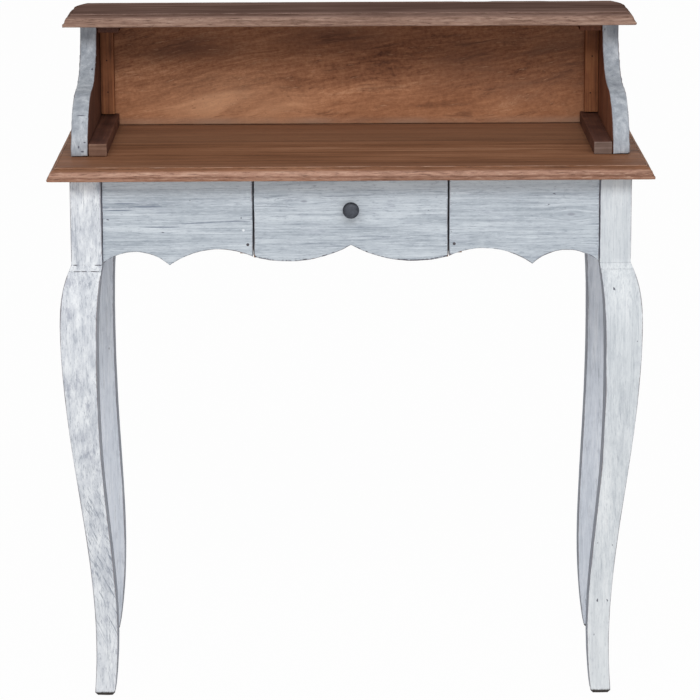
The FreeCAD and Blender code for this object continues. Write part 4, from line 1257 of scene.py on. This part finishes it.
def make_sky():
    world = bpy.data.worlds.new("studio")
    bpy.context.scene.world = world
    world.use_nodes = True
    tree = world.node_tree
    lighting = tree.nodes["Background"]
    lighting.inputs["Color"].default_value = WHITE
    lighting.inputs["Strength"].default_value = SKY
    white = tree.nodes.new("ShaderNodeBackground")
    white.inputs["Color"].default_value = WHITE
    white.inputs["Strength"].default_value = 1.0
    show_white(tree, seen_or_mirrored(tree), lighting, white, "World Output")


def make_floor():
    """A pale floor that looks white to the camera and still takes the shadow."""
    bpy.ops.object.select_all(action="DESELECT")
    bpy.ops.mesh.primitive_plane_add(size=FLOOR_SIZE)
    floor = bpy.context.object
    floor.name = "studio_floor"
    pale = bpy.data.materials.new("pale_floor")
    pale.use_nodes = True
    tree = pale.node_tree
    surface = tree.nodes["Principled BSDF"]
    for key, value in (("Base Color", FLOOR_SHADE), ("Roughness", 0.9), ("Specular IOR Level", 0.1)):
        surface.inputs[key].default_value = value
    glow = tree.nodes.new("ShaderNodeEmission")
    glow.inputs["Strength"].default_value = 1.0
    share = tree.nodes.new("ShaderNodeMath")
    share.operation = "MULTIPLY"
    share.inputs[1].default_value = FLOOR_GLOW
    tree.links.new(seen_or_mirrored(tree), share.inputs[0])
    show_white(tree, share.outputs[0], surface, glow, "Material Output")
    floor.data.materials.append(pale)


def make_lamp(name, place, size, power):
    lamp = bpy.data.lights.new(name, "AREA")
    lamp.shape = "RECTANGLE"
    lamp.size, lamp.size_y = size
    lamp.energy = power
    holder = bpy.data.objects.new(name, lamp)
    bpy.context.scene.collection.objects.link(holder)
    holder.location = place
    holder.rotation_euler = (AIM - Vector(place)).to_track_quat("-Z", "Y").to_euler()


def make_camera():
    lens = bpy.data.cameras.new("camera")
    lens.sensor_width = SENSOR
    lens.lens = FOCAL_PIXELS * SENSOR / IMAGE_SIDE
    lens.clip_end = 100
    camera = bpy.data.objects.new("camera", lens)
    bpy.context.scene.collection.objects.link(camera)
    turn = (Matrix.Rotation(-CAMERA_YAW, 4, "Z") @ Matrix.Rotation(math.pi / 2 - CAMERA_PITCH, 4, "X")
            @ Matrix.Rotation(CAMERA_ROLL, 4, "Z"))
    camera.matrix_world = Matrix.Translation(CAMERA_PLACE) @ turn
    bpy.context.scene.camera = camera


for piece, node in finished:
    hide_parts(node)
make_sky()
make_floor()
key_place = AIM + Vector((0, -math.cos(KEY_ELEVATION), math.sin(KEY_ELEVATION))) * KEY_DISTANCE
make_lamp("key_softbox", key_place, KEY_SIZE, KEY_POWER)
make_lamp("front_fill", FILL_PLACE, FILL_SIZE, FILL_POWER)
make_camera()
bpy.context.scene.view_settings.view_transform = "Standard"

bpy.context.view_layer.update()
